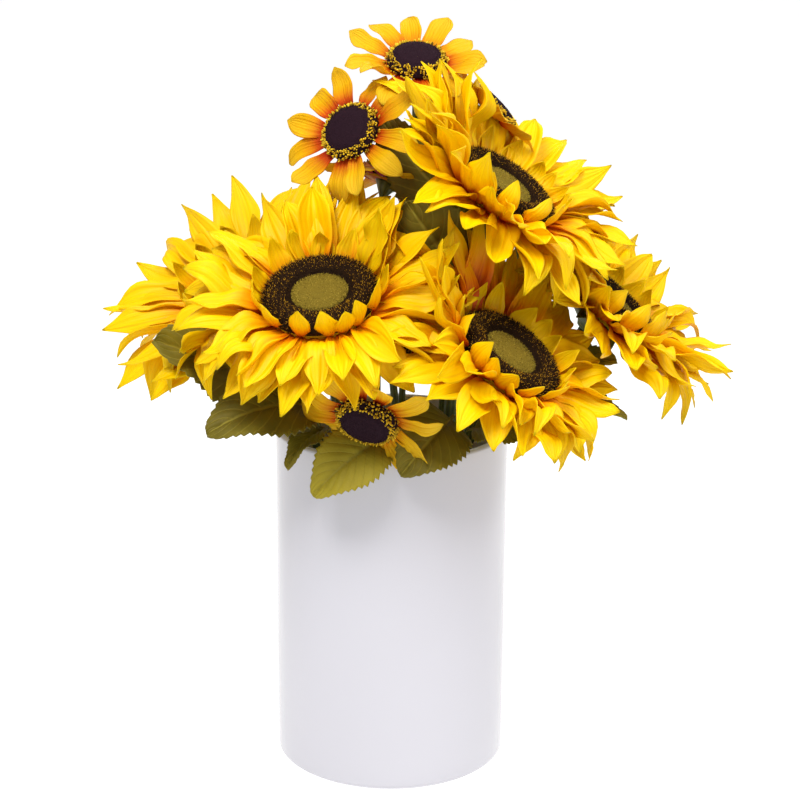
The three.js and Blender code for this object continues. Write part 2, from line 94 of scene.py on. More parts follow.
class Layer(Enum):
    """The rings of petals, named as their CAD nodes are."""

    OUTER = "outer_petals"
    MIDDLE = "middle_petals"
    INNER = "inner_petals"
    SINGLE = "petals"
    SEPALS = "calyx"


# ---------------------------------------------------------------------------
# Reading the CAD nodes
# ---------------------------------------------------------------------------
class CadNode:
    """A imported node's corners, welded by place, and which of them are neighbours."""

    def __init__(self, name: str) -> None:
        """Read the node's mesh.

        Args:
            name: The node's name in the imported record.
        """
        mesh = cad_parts[name].data
        raw = np.array([v.co for v in mesh.vertices])
        keys, back = np.unique(np.round(raw / WELD).astype(int), axis=0, return_inverse=True)
        self.name = name
        self.points = np.zeros((len(keys), 3))
        self.points[back.ravel()] = raw
        self.near: list[set[int]] = [set() for _ in keys]
        for a, b in mesh.edge_keys:
            p, q = int(back.ravel()[a]), int(back.ravel()[b])
            if p != q:
                self.near[p].add(q)
                self.near[q].add(p)

    def walk(self, first: Iterable[int]) -> list[list[int]]:
        """Follow a lofted skin ring by ring.

        Args:
            first: The corners of the ring to start from.

        Returns:
            The corners of each ring in turn.
        """
        seen = set(first)
        rings = [sorted(seen)]
        while True:
            ahead = set().union(*(self.near[i] for i in rings[-1])) - seen
            if not ahead:
                return rings
            seen |= ahead
            rings.append(sorted(ahead))


def smooth_line(points: np.ndarray, count: int) -> np.ndarray:
    """Draw an even, smooth line through a few points.

    Args:
        points: The points to pass through, one per row.
        count: How many points to return.

    Returns:
        The points of the line.
    """
    ends = np.vstack([2 * points[0] - points[1], points, 2 * points[-1] - points[-2]])
    dense = []
    for i in range(1, len(ends) - 2):
        p0, p1, p2, p3 = ends[i - 1 : i + 3]
        for t in np.linspace(0, 1, 12, endpoint=False):
            dense.append(
                0.5
                * (
                    2 * p1
                    + (p2 - p0) * t
                    + (2 * p0 - 5 * p1 + 4 * p2 - p3) * t**2
                    + (3 * p1 - p0 - 3 * p2 + p3) * t**3
                )
            )
    dense.append(points[-1])
    line = np.array(dense)
    along = np.concatenate([[0], np.cumsum(np.linalg.norm(np.diff(line, axis=0), axis=1))])
    want = np.linspace(0, along[-1], count)
    return np.column_stack([np.interp(want, along, line[:, k]) for k in range(line.shape[1])])


# ---------------------------------------------------------------------------
# Mesh drafts
# ---------------------------------------------------------------------------
class Draft:
    """Gathers the corners, faces, cloth coordinates and tones of one piece."""

    def __init__(self) -> None:
        """Start an empty draft."""
        self.points: list[np.ndarray] = []
        self.cloth: list[np.ndarray] = []
        self.tone: list[np.ndarray] = []
        self.under: list[np.ndarray] = []
        self.faces: list[tuple[int, ...]] = []
        self.count = 0

    def add(
        self,
        points: np.ndarray,
        faces: Iterable[Sequence[int]],
        cloth: np.ndarray | None = None,
        tone: float | np.ndarray = 0.5,
        under: float | np.ndarray = 0.0,
    ) -> None:
        """Add one closed lump.

        Args:
            points: Its corners, one per row.
            faces: Its faces, as indices into points.
            cloth: For each corner, how far it is along and across the cloth.
            tone: A shade from 0 to 1, for the lump or for each corner.
            under: 1 on an underside, 0 on top, for the lump or for each corner.
        """
        base = self.count
        self.points.append(points)
        self.cloth.append(np.zeros((len(points), 2)) if cloth is None else cloth)
        self.tone.append(np.broadcast_to(tone, len(points)).astype(float))
        self.under.append(np.broadcast_to(under, len(points)).astype(float))
        self.faces.extend(tuple(base + i for i in face) for face in faces)
        self.count += len(points)

    def add_sheet(self, grid: np.ndarray, cloth: np.ndarray, thick: float, tone: float) -> None:
        """Add a thin closed sheet over a grid of points.

        Args:
            grid: Rows and columns of points on the sheet's middle.
            cloth: Along and across coordinates, in the same rows and columns.
            thick: The sheet's thickness.
            tone: The sheet's shade, from 0 to 1.
        """
        rows, columns = grid.shape[:2]
        along = np.gradient(grid, axis=0)
        across = np.gradient(grid, axis=1)
        normal = np.cross(across, along)
        normal /= np.linalg.norm(normal, axis=2, keepdims=True) + 1e-12
        half = normal * thick / 2
        points = np.concatenate([(grid + half).reshape(-1, 3), (grid - half).reshape(-1, 3)])
        sheet = rows * columns
        faces: list[tuple[int, ...]] = []
        for i in range(rows - 1):
            for j in range(columns - 1):
                a = i * columns + j
                b, c, d = a + 1, a + columns + 1, a + columns
                faces.append((a, b, c, d))
                faces.append((sheet + d, sheet + c, sheet + b, sheet + a))
        rim = list(range(columns))
        rim += [i * columns + columns - 1 for i in range(1, rows)]
        rim += [(rows - 1) * columns + j for j in range(columns - 2, -1, -1)]
        rim += [i * columns for i in range(rows - 2, 0, -1)]
        for p, q in zip(rim, rim[1:] + rim[:1]):
            faces.append((q, p, sheet + p, sheet + q))
        flat = cloth.reshape(-1, 2)
        under = np.concatenate([np.zeros(sheet), np.ones(sheet)])
        self.add(points, faces, np.concatenate([flat, flat]), tone, under)

    def add_turned(
        self, profile: np.ndarray, place: Callable[[np.ndarray], np.ndarray], sides: int, tone: float
    ) -> None:
        """Add a solid turned about a head's or the vase's axis.

        Args:
            profile: Radius and height pairs that start and end on the axis, or close on themselves.
            place: Takes points from the axis's frame to the row frame.
            sides: How many sides the turning has.
            tone: The solid's shade, from 0 to 1.
        """
        closed = bool(np.allclose(profile[0], profile[-1]))
        rows = profile[:-1] if closed else profile
        turns = np.arange(sides) / sides * 2 * math.pi
        points: list[tuple[float, float, float]] = []
        cloth: list[tuple[float, float]] = []
        rings: list[list[int]] = []
        for k, (r, z) in enumerate(rows):
            share = k / max(1, len(rows) - 1)
            if r < 1e-9:
                rings.append([len(points)] * sides)
                points.append((0.0, 0.0, z))
                cloth.append((share, 0.0))
                continue
            rings.append(list(range(len(points), len(points) + sides)))
            points.extend((r * math.cos(t), r * math.sin(t), z) for t in turns)
            cloth.extend((share, t / (2 * math.pi)) for t in turns)
        faces: list[tuple[int, ...]] = []
        pairs = list(zip(rings, rings[1:])) + ([(rings[-1], rings[0])] if closed else [])
        for low, high in pairs:
            for i in range(sides):
                j = (i + 1) % sides
                face = [low[i], low[j], high[j], high[i]]
                tidy = [v for n, v in enumerate(face) if v != face[n - 1]]
                if len(tidy) > 2:
                    faces.append(tuple(tidy))
        self.add(place(np.array(points)), faces, np.array(cloth), tone)

    def finish(self, name: str, node: str, slot: str, material: bpy.types.Material) -> bpy.types.Object:
        """Turn the draft into a shown piece that rides on the frame.

        Args:
            name: The piece's name.
            node: The CAD node that it stands for.
            slot: The record's material slot; not used.
            material: The piece's finish.

        Returns:
            The finished object.
        """
        mesh = bpy.data.meshes.new(name)
        points = np.concatenate(self.points)
        mesh.from_pydata(points.tolist(), [], self.faces)
        mesh.polygons.foreach_set("use_smooth", [True] * len(mesh.polygons))
        corners = np.zeros(len(mesh.loops), dtype=np.int32)
        mesh.loops.foreach_get("vertex_index", corners)
        layer = mesh.uv_layers.new(name="Cloth")
        layer.data.foreach_set("uv", np.concatenate(self.cloth)[corners].ravel())
        for label, values in (("tone", self.tone), ("under", self.under)):
            attribute = mesh.attributes.new(label, "FLOAT", "POINT")
            attribute.data.foreach_set("value", np.concatenate(values))
        mesh.materials.append(material)
        mesh.update()
        piece = bpy.data.objects.new(name, mesh)
        bpy.context.collection.objects.link(piece)
        volume = signed_volume(mesh)
        if volume < 0:
            mesh.flip_normals()
        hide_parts(node)
        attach(piece, BODY)
        log.info("%s: %d faces", name, len(mesh.polygons))
        return piece


def signed_volume(mesh: bpy.types.Mesh) -> float:
    """Give a mesh's volume.

    Args:
        mesh: A closed mesh.

    Returns:
        The volume in cubic metres, which is below nothing when the faces look inwards.
    """
    mesh.calc_loop_triangles()
    corners = np.zeros(len(mesh.loop_triangles) * 3, dtype=np.int32)
    mesh.loop_triangles.foreach_get("vertices", corners)
    places = np.zeros(len(mesh.vertices) * 3)
    mesh.vertices.foreach_get("co", places)
    tri = places.reshape(-1, 3)[corners.reshape(-1, 3)]
    return float(np.einsum("ij,ij->", tri[:, 0], np.cross(tri[:, 1], tri[:, 2])) / 6)


# ---------------------------------------------------------------------------
# Finishes
# ---------------------------------------------------------------------------
class Paint:
    """A small helper that lays out the nodes of one material."""

    def __init__(self, name: str) -> None:
        """Start a material with one Principled surface.

        Args:
            name: The material's name.
        """
        self.material = bpy.data.materials.new(name)
        self.material.use_nodes = True
        self.tree = self.material.node_tree
        self.surface = next(n for n in self.tree.nodes if n.type == "BSDF_PRINCIPLED")
        self.output = next(n for n in self.tree.nodes if n.type == "OUTPUT_MATERIAL")

    def node(self, kind: str, **settings: object) -> bpy.types.Node:
        """Add a node and set its properties.

        Args:
            kind: Which node it is.
            **settings: The values of its properties.

        Returns:
            The new node.
        """
        made = self.tree.nodes.new(kind)
        for key, value in settings.items():
            setattr(made, key, value)
        return made

    def link(self, source: Socket, target: Socket) -> None:
        """Join two sockets."""
        self.tree.links.new(source, target)

    def fill(self, node: bpy.types.Node, values: Iterable[Socket | float]) -> Socket:
        """Fill a node's inputs in order.

        Args:
            node: The node.
            values: A number or another node's output for each input.

        Returns:
            The node's first output.
        """
        for socket, value in zip(node.inputs, values):
            if isinstance(value, (int, float)):
                socket.default_value = value
            else:
                self.link(value, socket)
        return node.outputs[0]

    def sum(self, operation: str, *values: Socket | float) -> Socket:
        """Work out one number from others with a Math node."""
        return self.fill(self.node("ShaderNodeMath", operation=operation), values)

    def times(self, first: Socket | float, second: Socket | float) -> Socket:
        """Multiply two numbers."""
        return self.sum("MULTIPLY", first, second)

    def plus(self, first: Socket | float, second: Socket | float) -> Socket:
        """Add two numbers."""
        return self.sum("ADD", first, second)

    def number(self, name: str) -> Socket:
        """Read a number that the mesh carries."""
        return self.node("ShaderNodeAttribute", attribute_name=name).outputs["Fac"]

    def cloth(self) -> tuple[Socket, Socket]:
        """Find where a point is on its cloth.

        Returns:
            How far it is along the cloth and across it.
        """
        split = self.node("ShaderNodeSeparateXYZ")
        self.link(self.node("ShaderNodeUVMap", uv_map="Cloth").outputs["UV"], split.inputs[0])
        return split.outputs[0], split.outputs[1]

    def place(self, x: Socket | float, y: Socket | float, z: Socket | float = 0.0) -> Socket:
        """Put three numbers together as a place."""
        return self.fill(self.node("ShaderNodeCombineXYZ"), (x, y, z))

    def body_place(self) -> Socket:
        """Give a point's place on the piece itself."""
        return self.node("ShaderNodeTexCoord").outputs["Object"]

    def noise(self, vector: Socket, scale: float, detail: float = 3.0) -> Socket:
        """Give soft random spots.

        Args:
            vector: Where on the cloth or the piece to look.
            scale: How fine the spots are.
            detail: How many finer rounds of spots are laid over them.

        Returns:
            A number from 0 to 1.
        """
        made = self.node("ShaderNodeTexNoise")
        made.inputs["Scale"].default_value = scale
        made.inputs["Detail"].default_value = detail
        self.link(vector, made.inputs["Vector"])
        return made.outputs["Fac"]

    def ramp(self, value: Socket, stops: Stops) -> Socket:
        """Turn a number into a colour.

        Args:
            value: The number, from 0 to 1.
            stops: Places along the ramp and their colours.

        Returns:
            The colour.
        """
        made = self.node("ShaderNodeValToRGB")
        ladder = made.color_ramp.elements
        while len(ladder) < len(stops):
            ladder.new(0.5)
        for step, (at, colour) in zip(ladder, stops):
            step.position = at
            step.color = (*colour, 1)
        self.link(value, made.inputs[0])
        return made.outputs[0]

    def blend(
        self, share: Socket | float, first: Socket | Colour, second: Socket | Colour, how: str = "MIX"
    ) -> Socket:
        """Mix two colours.

        Args:
            share: How much of the second one shows.
            first: The colour below.
            second: The colour above.
            how: The way they mix.

        Returns:
            The mixed colour.
        """
        made = self.node("ShaderNodeMix", data_type="RGBA", blend_type=how)
        sockets = (made.inputs[0], made.inputs[6], made.inputs[7])
        for socket, value in zip(sockets, (share, first, second)):
            if isinstance(value, Socket):
                self.link(value, socket)
            elif isinstance(value, tuple):
                socket.default_value = (*value, 1)
            else:
                socket.default_value = value
        return made.outputs[2]

    def bump(self, height: Socket, depth: float, strength: float = 1.0) -> None:
        """Raise the surface by a height map.

        Args:
            height: The height, from 0 to about 1.
            depth: How high 1 is, in metres.
            strength: How much of the bump shows.
        """
        made = self.node("ShaderNodeBump")
        made.inputs["Strength"].default_value = strength
        made.inputs["Distance"].default_value = depth
        self.link(height, made.inputs["Height"])
        self.link(made.outputs[0], self.surface.inputs["Normal"])

    def shine_through(self, colour: Socket, share: float) -> None:
        """Let some light through a thin cloth.

        Args:
            colour: The colour of the light that comes through.
            share: How much of the surface it makes up.
        """
        glow = self.node("ShaderNodeBsdfTranslucent")
        self.link(colour, glow.inputs["Color"])
        mix = self.node("ShaderNodeMixShader")
        mix.inputs[0].default_value = share
        self.link(self.surface.outputs[0], mix.inputs[1])
        self.link(glow.outputs[0], mix.inputs[2])
        self.link(mix.outputs[0], self.output.inputs["Surface"])


@dataclass(frozen=True)
class PetalCloth:
    """Satin petal cloth, dyed from foot to tip, with lengthwise pleats and a fine weave; its deep orange
    foot is partly dye and partly painted shade.
    """

    name: str
    dye_and_foot_shade: Stops
    glow: Colour
    roughness: float = 0.5
    through: float = 0.22
    streaks: float = 0.16
    stripes: float = 3.0
    stripe_depth: float = 0.25 * MM

    def material(self) -> bpy.types.Material:
        """Build the cloth's material.

        Returns:
            The material.
        """
        paint = Paint(self.name)
        along, across = paint.cloth()
        tone = paint.number("tone")
        streak_at = paint.place(paint.times(along, 1.4), paint.times(across, 9.0), paint.times(tone, 40.0))
        streak = paint.noise(streak_at, 1.0, 4.0)
        shifted = paint.plus(along, paint.times(paint.sum("SUBTRACT", streak, 0.5), self.streaks))
        # A higher tone moves the petal towards its orange foot colour; tone is random per petal, and
        # raised on some heads as painted shade.
        warmer = paint.sum("SUBTRACT", shifted, paint.times(paint.sum("SUBTRACT", tone, 0.5), 0.16))
        # The ramp's deep orange foot is partly dye and partly painted shade, the orange of shaded petals
        # near the disc.
        dyed_and_foot_shaded = paint.ramp(warmer, self.dye_and_foot_shade)
        shade = paint.ramp(streak, ((0.3, (0.93, 0.85, 0.75)), (0.62, (1.0, 1.0, 1.0))))
        colour = paint.blend(1.0, dyed_and_foot_shaded, shade, "MULTIPLY")
        paint.link(colour, paint.surface.inputs["Base Color"])
        fine = paint.noise(paint.place(paint.times(along, 90.0), paint.times(across, 26.0)), 1.0, 1.0)
        pleat = paint.sum("SINE", paint.times(across, self.stripes * ROUND))
        height = paint.plus(paint.times(fine, 0.35), paint.times(pleat, 0.5))
        height = paint.plus(height, paint.times(streak, 1.2))
        paint.bump(height, self.stripe_depth)
        rough = paint.plus(self.roughness - 0.06, paint.times(fine, 0.14))
        paint.link(rough, paint.surface.inputs["Roughness"])
        paint.surface.inputs["Specular IOR Level"].default_value = 0.16
        paint.shine_through(paint.blend(0.65, colour, self.glow, "MULTIPLY"), self.through)
        return paint.material


@dataclass(frozen=True)
class LeafCloth:
    """Olive leaf cloth with a pale midrib and side veins, lighter on its underside."""

    name: str = "leaf cloth"
    deep: Colour = (0.078, 0.060, 0.004)
    light: Colour = (0.37, 0.295, 0.020)
    vein: Colour = (0.33, 0.27, 0.03)
    underside: Colour = (0.28, 0.26, 0.06)
    veins: float = 9.0
    slant: float = 0.30

    def material(self) -> bpy.types.Material:
        """Build the leaf's material.

        Returns:
            The material.
        """
        paint = Paint(self.name)
        along, across = paint.cloth()
        tone = paint.number("tone")
        here = paint.body_place()
        blotch = paint.noise(here, 60.0, 4.0)
        value = paint.plus(paint.times(blotch, 0.6), paint.sum("SUBTRACT", tone, 0.3))
        colour = paint.ramp(value, ((0.1, self.deep), (0.95, self.light)))
        side = paint.sum("ABSOLUTE", across)
        climb = paint.sum("SUBTRACT", along, paint.times(side, self.slant))
        rib = paint.sum("PINGPONG", paint.times(climb, self.veins), 0.5)
        side_vein = paint.ramp(rib, ((0.0, (1, 1, 1)), (0.10, (0, 0, 0))))
        midrib = paint.ramp(side, ((0.02, (1, 1, 1)), (0.07, (0, 0, 0))))
        veined = paint.sum("MAXIMUM", paint.times(side_vein, 0.55), midrib)
        colour = paint.blend(veined, colour, self.vein)
        back = paint.times(paint.number("under"), 0.6)
        colour = paint.blend(back, colour, self.underside)
        paint.link(colour, paint.surface.inputs["Base Color"])
        grain = paint.noise(here, 900.0, 2.0)
        height = paint.plus(paint.times(grain, 0.3), paint.times(veined, -0.8))
        paint.bump(height, 0.3 * MM)
        rough = paint.plus(0.5, paint.times(grain, 0.2))
        paint.link(rough, paint.surface.inputs["Roughness"])
        paint.surface.inputs["Specular IOR Level"].default_value = 0.22
        paint.shine_through(colour, 0.12)
        return paint.material


@dataclass(frozen=True)
class Pile:
    """Short bristles or florets whose colour goes from tuft to tuft by their tone."""

    name: str
    stops: Stops
    roughness: float = 0.75
    grain: float = 700.0
    depth: float = 0.4 * MM

    def material(self) -> bpy.types.Material:
        """Build the pile's material.

        Returns:
            The material.
        """
        paint = Paint(self.name)
        here = paint.body_place()
        spot = paint.noise(here, self.grain, 2.0)
        jitter = paint.times(paint.sum("SUBTRACT", spot, 0.5), 0.12)
        colour = paint.ramp(paint.plus(paint.number("tone"), jitter), self.stops)
        paint.link(colour, paint.surface.inputs["Base Color"])
        paint.bump(spot, self.depth)
        rough = paint.plus(self.roughness, paint.times(spot, 0.15))
        paint.link(rough, paint.surface.inputs["Roughness"])
        paint.surface.inputs["Specular IOR Level"].default_value = 0.10
        return paint.material


@dataclass(frozen=True)
class StemPlastic:
    """Matt green moulded plastic with faint lengthwise ribs."""

    name: str = "stem plastic"
    deep: Colour = (0.055, 0.085, 0.014)
    light: Colour = (0.15, 0.20, 0.045)
    ribs: int = 9

    def material(self) -> bpy.types.Material:
        """Build the stem's material.

        Returns:
            The material.
        """
        paint = Paint(self.name)
        _, across = paint.cloth()
        here = paint.body_place()
        mottle = paint.noise(here, 120.0, 3.0)
        rib = paint.sum("SINE", paint.times(across, ROUND * self.ribs))
        value = paint.plus(mottle, paint.times(rib, 0.12))
        colour = paint.ramp(value, ((0.3, self.deep), (0.75, self.light)))
        paint.link(colour, paint.surface.inputs["Base Color"])
        height = paint.plus(rib, paint.times(paint.noise(here, 600.0, 2.0), 1.4))
        paint.bump(height, 0.2 * MM)
        rough = paint.plus(0.42, paint.times(mottle, 0.2))
        paint.link(rough, paint.surface.inputs["Roughness"])
        return paint.material


@dataclass(frozen=True)
class Glaze:
    """White pottery glaze: a hard gloss over a very slightly uneven body."""

    name: str = "white glaze"
    tint: Colour = (0.58, 0.57, 0.615)
    bare: Colour = (0.62, 0.58, 0.52)

    def material(self) -> bpy.types.Material:
        """Build the glaze's material.

        Returns:
            The material.
        """
        paint = Paint(self.name)
        here = paint.body_place()
        cloud = paint.noise(here, 14.0, 2.0)
        glazed = paint.ramp(cloud, ((0.3, tuple(0.985 * c for c in self.tint)), (0.7, self.tint)))
        bare = paint.number("under")
        speck = paint.noise(here, 1500.0, 2.0)
        clay = paint.ramp(speck, ((0.35, tuple(0.85 * c for c in self.bare)), (0.65, self.bare)))
        paint.link(paint.blend(bare, glazed, clay), paint.surface.inputs["Base Color"])
        uneven = paint.plus(paint.noise(here, 55.0, 2.0), paint.times(paint.times(speck, bare), 0.4))
        paint.bump(uneven, 0.25 * MM, 0.35)
        rough = paint.plus(paint.times(cloud, 0.05), paint.plus(0.06, paint.times(bare, 0.7)))
        paint.link(rough, paint.surface.inputs["Roughness"])
        paint.surface.inputs["Coat Weight"].default_value = 0.15
        paint.surface.inputs["Coat Roughness"].default_value = 0.04
        return paint.material


@dataclass(frozen=True)
class FloorPaint:
    """The plain pale floor that the vase stands on."""

    name: str = "pale floor"
    tint: Colour = (0.40, 0.40, 0.40)
    lift: float = 0.81

    def material(self) -> bpy.types.Material:
        """Build the floor's material.

        Returns:
            The material.
        """
        paint = Paint(self.name)
        soft = paint.noise(paint.body_place(), 3.0, 1.0)
        tint = paint.ramp(soft, ((0.0, tuple(0.995 * c for c in self.tint)), (1.0, self.tint)))
        paint.link(tint, paint.surface.inputs["Base Color"])
        paint.surface.inputs["Roughness"].default_value = 0.6
        paint.surface.inputs["Emission Color"].default_value = (1, 1, 1, 1)
        paint.surface.inputs["Emission Strength"].default_value = self.lift
        return paint.material


# The foot of this ramp is partly dye and partly painted shade: the deep orange stands in for the shade
# among the petals near the disc.
YELLOW_PETAL = PetalCloth(
    "yellow petal cloth",
    (
        (0.00, (0.70, 0.12, 0.0)),
        (0.08, (0.92, 0.26, 0.0)),
        (0.20, (1.00, 0.48, 0.0)),
        (0.38, (1.00, 0.66, 0.0)),
        (1.00, (1.00, 0.74, 0.0)),
    ),
    (1.0, 0.70, 0.0),
    roughness=0.42,
)
GOLDEN_PETAL = PetalCloth(
    "golden petal cloth",
    (
        (0.00, (0.50, 0.020, 0.0)),
        (0.13, (0.70, 0.10, 0.0)),
        (0.27, (0.82, 0.34, 0.0)),
        (0.48, (0.88, 0.55, 0.001)),
        (1.00, (0.90, 0.65, 0.025)),
    ),
    (1.0, 0.70, 0.05),
    roughness=0.55,
    through=0.34,
    streaks=0.22,
    stripes=4.0,
)
DARK_BROWN_PILE = Pile(
    "seed bristles",
    (
        (0.00, (0.012, 0.005, 0.002)),
        (0.50, (0.028, 0.012, 0.003)),
        (0.66, (0.075, 0.030, 0.005)),
        (0.76, (0.70, 0.33, 0.010)),
        (1.00, (0.95, 0.55, 0.02)),
    ),
)
OLIVE_PILE = Pile(
    "olive middle",
    ((0.0, (0.055, 0.032, 0.003)), (0.35, (0.17, 0.118, 0.011)), (1.0, (0.42, 0.295, 0.038))),
)
PURPLE_PILE = Pile(
    "purplish black pile",
    (
        (0.00, (0.010, 0.003, 0.006)),
        (0.80, (0.030, 0.010, 0.018)),
        (0.97, (0.08, 0.03, 0.035)),
        (1.00, (0.5, 0.35, 0.04)),
    ),
)
SEPAL_CLOTH = LeafCloth("sepal cloth", (0.05, 0.07, 0.01), (0.16, 0.20, 0.04))
FLORET_PILE = Pile(
    "yellow florets",
    ((0.0, (0.06, 0.03, 0.006)), (0.3, (0.45, 0.26, 0.01)), (1.0, (0.85, 0.58, 0.03))),
)


Finish = PetalCloth | LeafCloth | Pile | StemPlastic | Glaze | FloorPaint


class Wardrobe:
    """Makes each finish once and hands it out by name."""

    def __init__(self) -> None:
        """Start with no finishes made."""
        self.made: dict[str, bpy.types.Material] = {}

    def get(self, finish: Finish) -> bpy.types.Material:
        """Give a finish's material, making it on first use.

        Args:
            finish: The finish that is wanted.

        Returns:
            Its material.
        """
        if finish.name not in self.made:
            self.made[finish.name] = finish.material()
        return self.made[finish.name]


# ---------------------------------------------------------------------------
# Heads
# ---------------------------------------------------------------------------
@dataclass(frozen=True)
class Spine:
    """A petal's middle line in its head's frame, read from the CAD."""

    azimuth: float
    line: np.ndarray
    width: float
    dye_and_shade_warmth: float = 0.0

    def length(self) -> float:
        """Give how long the spine is."""
        return float(np.linalg.norm(np.diff(self.line, axis=0), axis=1).sum())

    def turned(self, turn: float, share: float) -> Spine:
        """Give a copy that is turned up about its foot and made shorter.

        Args:
            turn: How far to turn it up, in radians.
            share: How much of its length is kept.

        Returns:
            The new spine.
        """
        foot = self.line[0]
        cos, sin = math.cos(turn), math.sin(turn)
        spin = np.array([[cos, sin], [-sin, cos]])
        return replace(self, line=foot + (self.line - foot) @ spin * share)


def between(first: Spine, second: Spine, share: float) -> Spine:
    """Give the spine of a petal that stands between two neighbours.

    Args:
        first: The neighbour before it.
        second: The neighbour after it.
        share: How far it is from the first towards the second.

    Returns:
        The new spine.
    """
    gap = (second.azimuth - first.azimuth) % (2 * math.pi) or 2 * math.pi
    keep = 1 - share
    line = keep * first.line + share * second.line
    return Spine(first.azimuth + share * gap, line, keep * first.width + share * second.width)


@dataclass
class HeadFrame:
    """Where a head sits: its middle and the three ways of its own frame."""

    middle: np.ndarray
    x: np.ndarray
    y: np.ndarray
    z: np.ndarray

    @staticmethod
    def read(disc: CadNode, stem: CadNode) -> HeadFrame:
        """Find a head's frame from its disc and its stem.

        Args:
            disc: The head's disc, which is round about the head's axis.
            stem: The head's stem, whose nearest corner is behind the disc.

        Returns:
            The frame, with its middle in the plane of the disc's base.
        """
        middle = disc.points.mean(axis=0)
        away = disc.points - middle
        z = np.linalg.eigh(away.T @ away)[1][:, 0]
        behind = stem.points[np.argmin(np.linalg.norm(stem.points - middle, axis=1))]
        if (middle - behind) @ z < 0:
            z = -z
        middle = middle + z * (away @ z).min()
        up = np.array([0.0, 0.0, 1.0])
        y = up - (up @ z) * z
        y /= np.linalg.norm(y)
        return HeadFrame(middle, np.cross(y, z), y, z)

    def inward(self, points: np.ndarray) -> np.ndarray:
        """Take points from the row frame into the head's own."""
        away = points - self.middle
        return np.column_stack([away @ self.x, away @ self.y, away @ self.z])

    def outward(self, points: np.ndarray) -> np.ndarray:
        """Take points from the head's own frame into the row frame.

        Args:
            points: Points or grids of points in the head's frame.

        Returns:
            The same points in the row frame.
        """
        flat = points.reshape(-1, 3)
        placed = self.middle + flat @ np.array([self.x, self.y, self.z])
        return placed.reshape(points.shape)


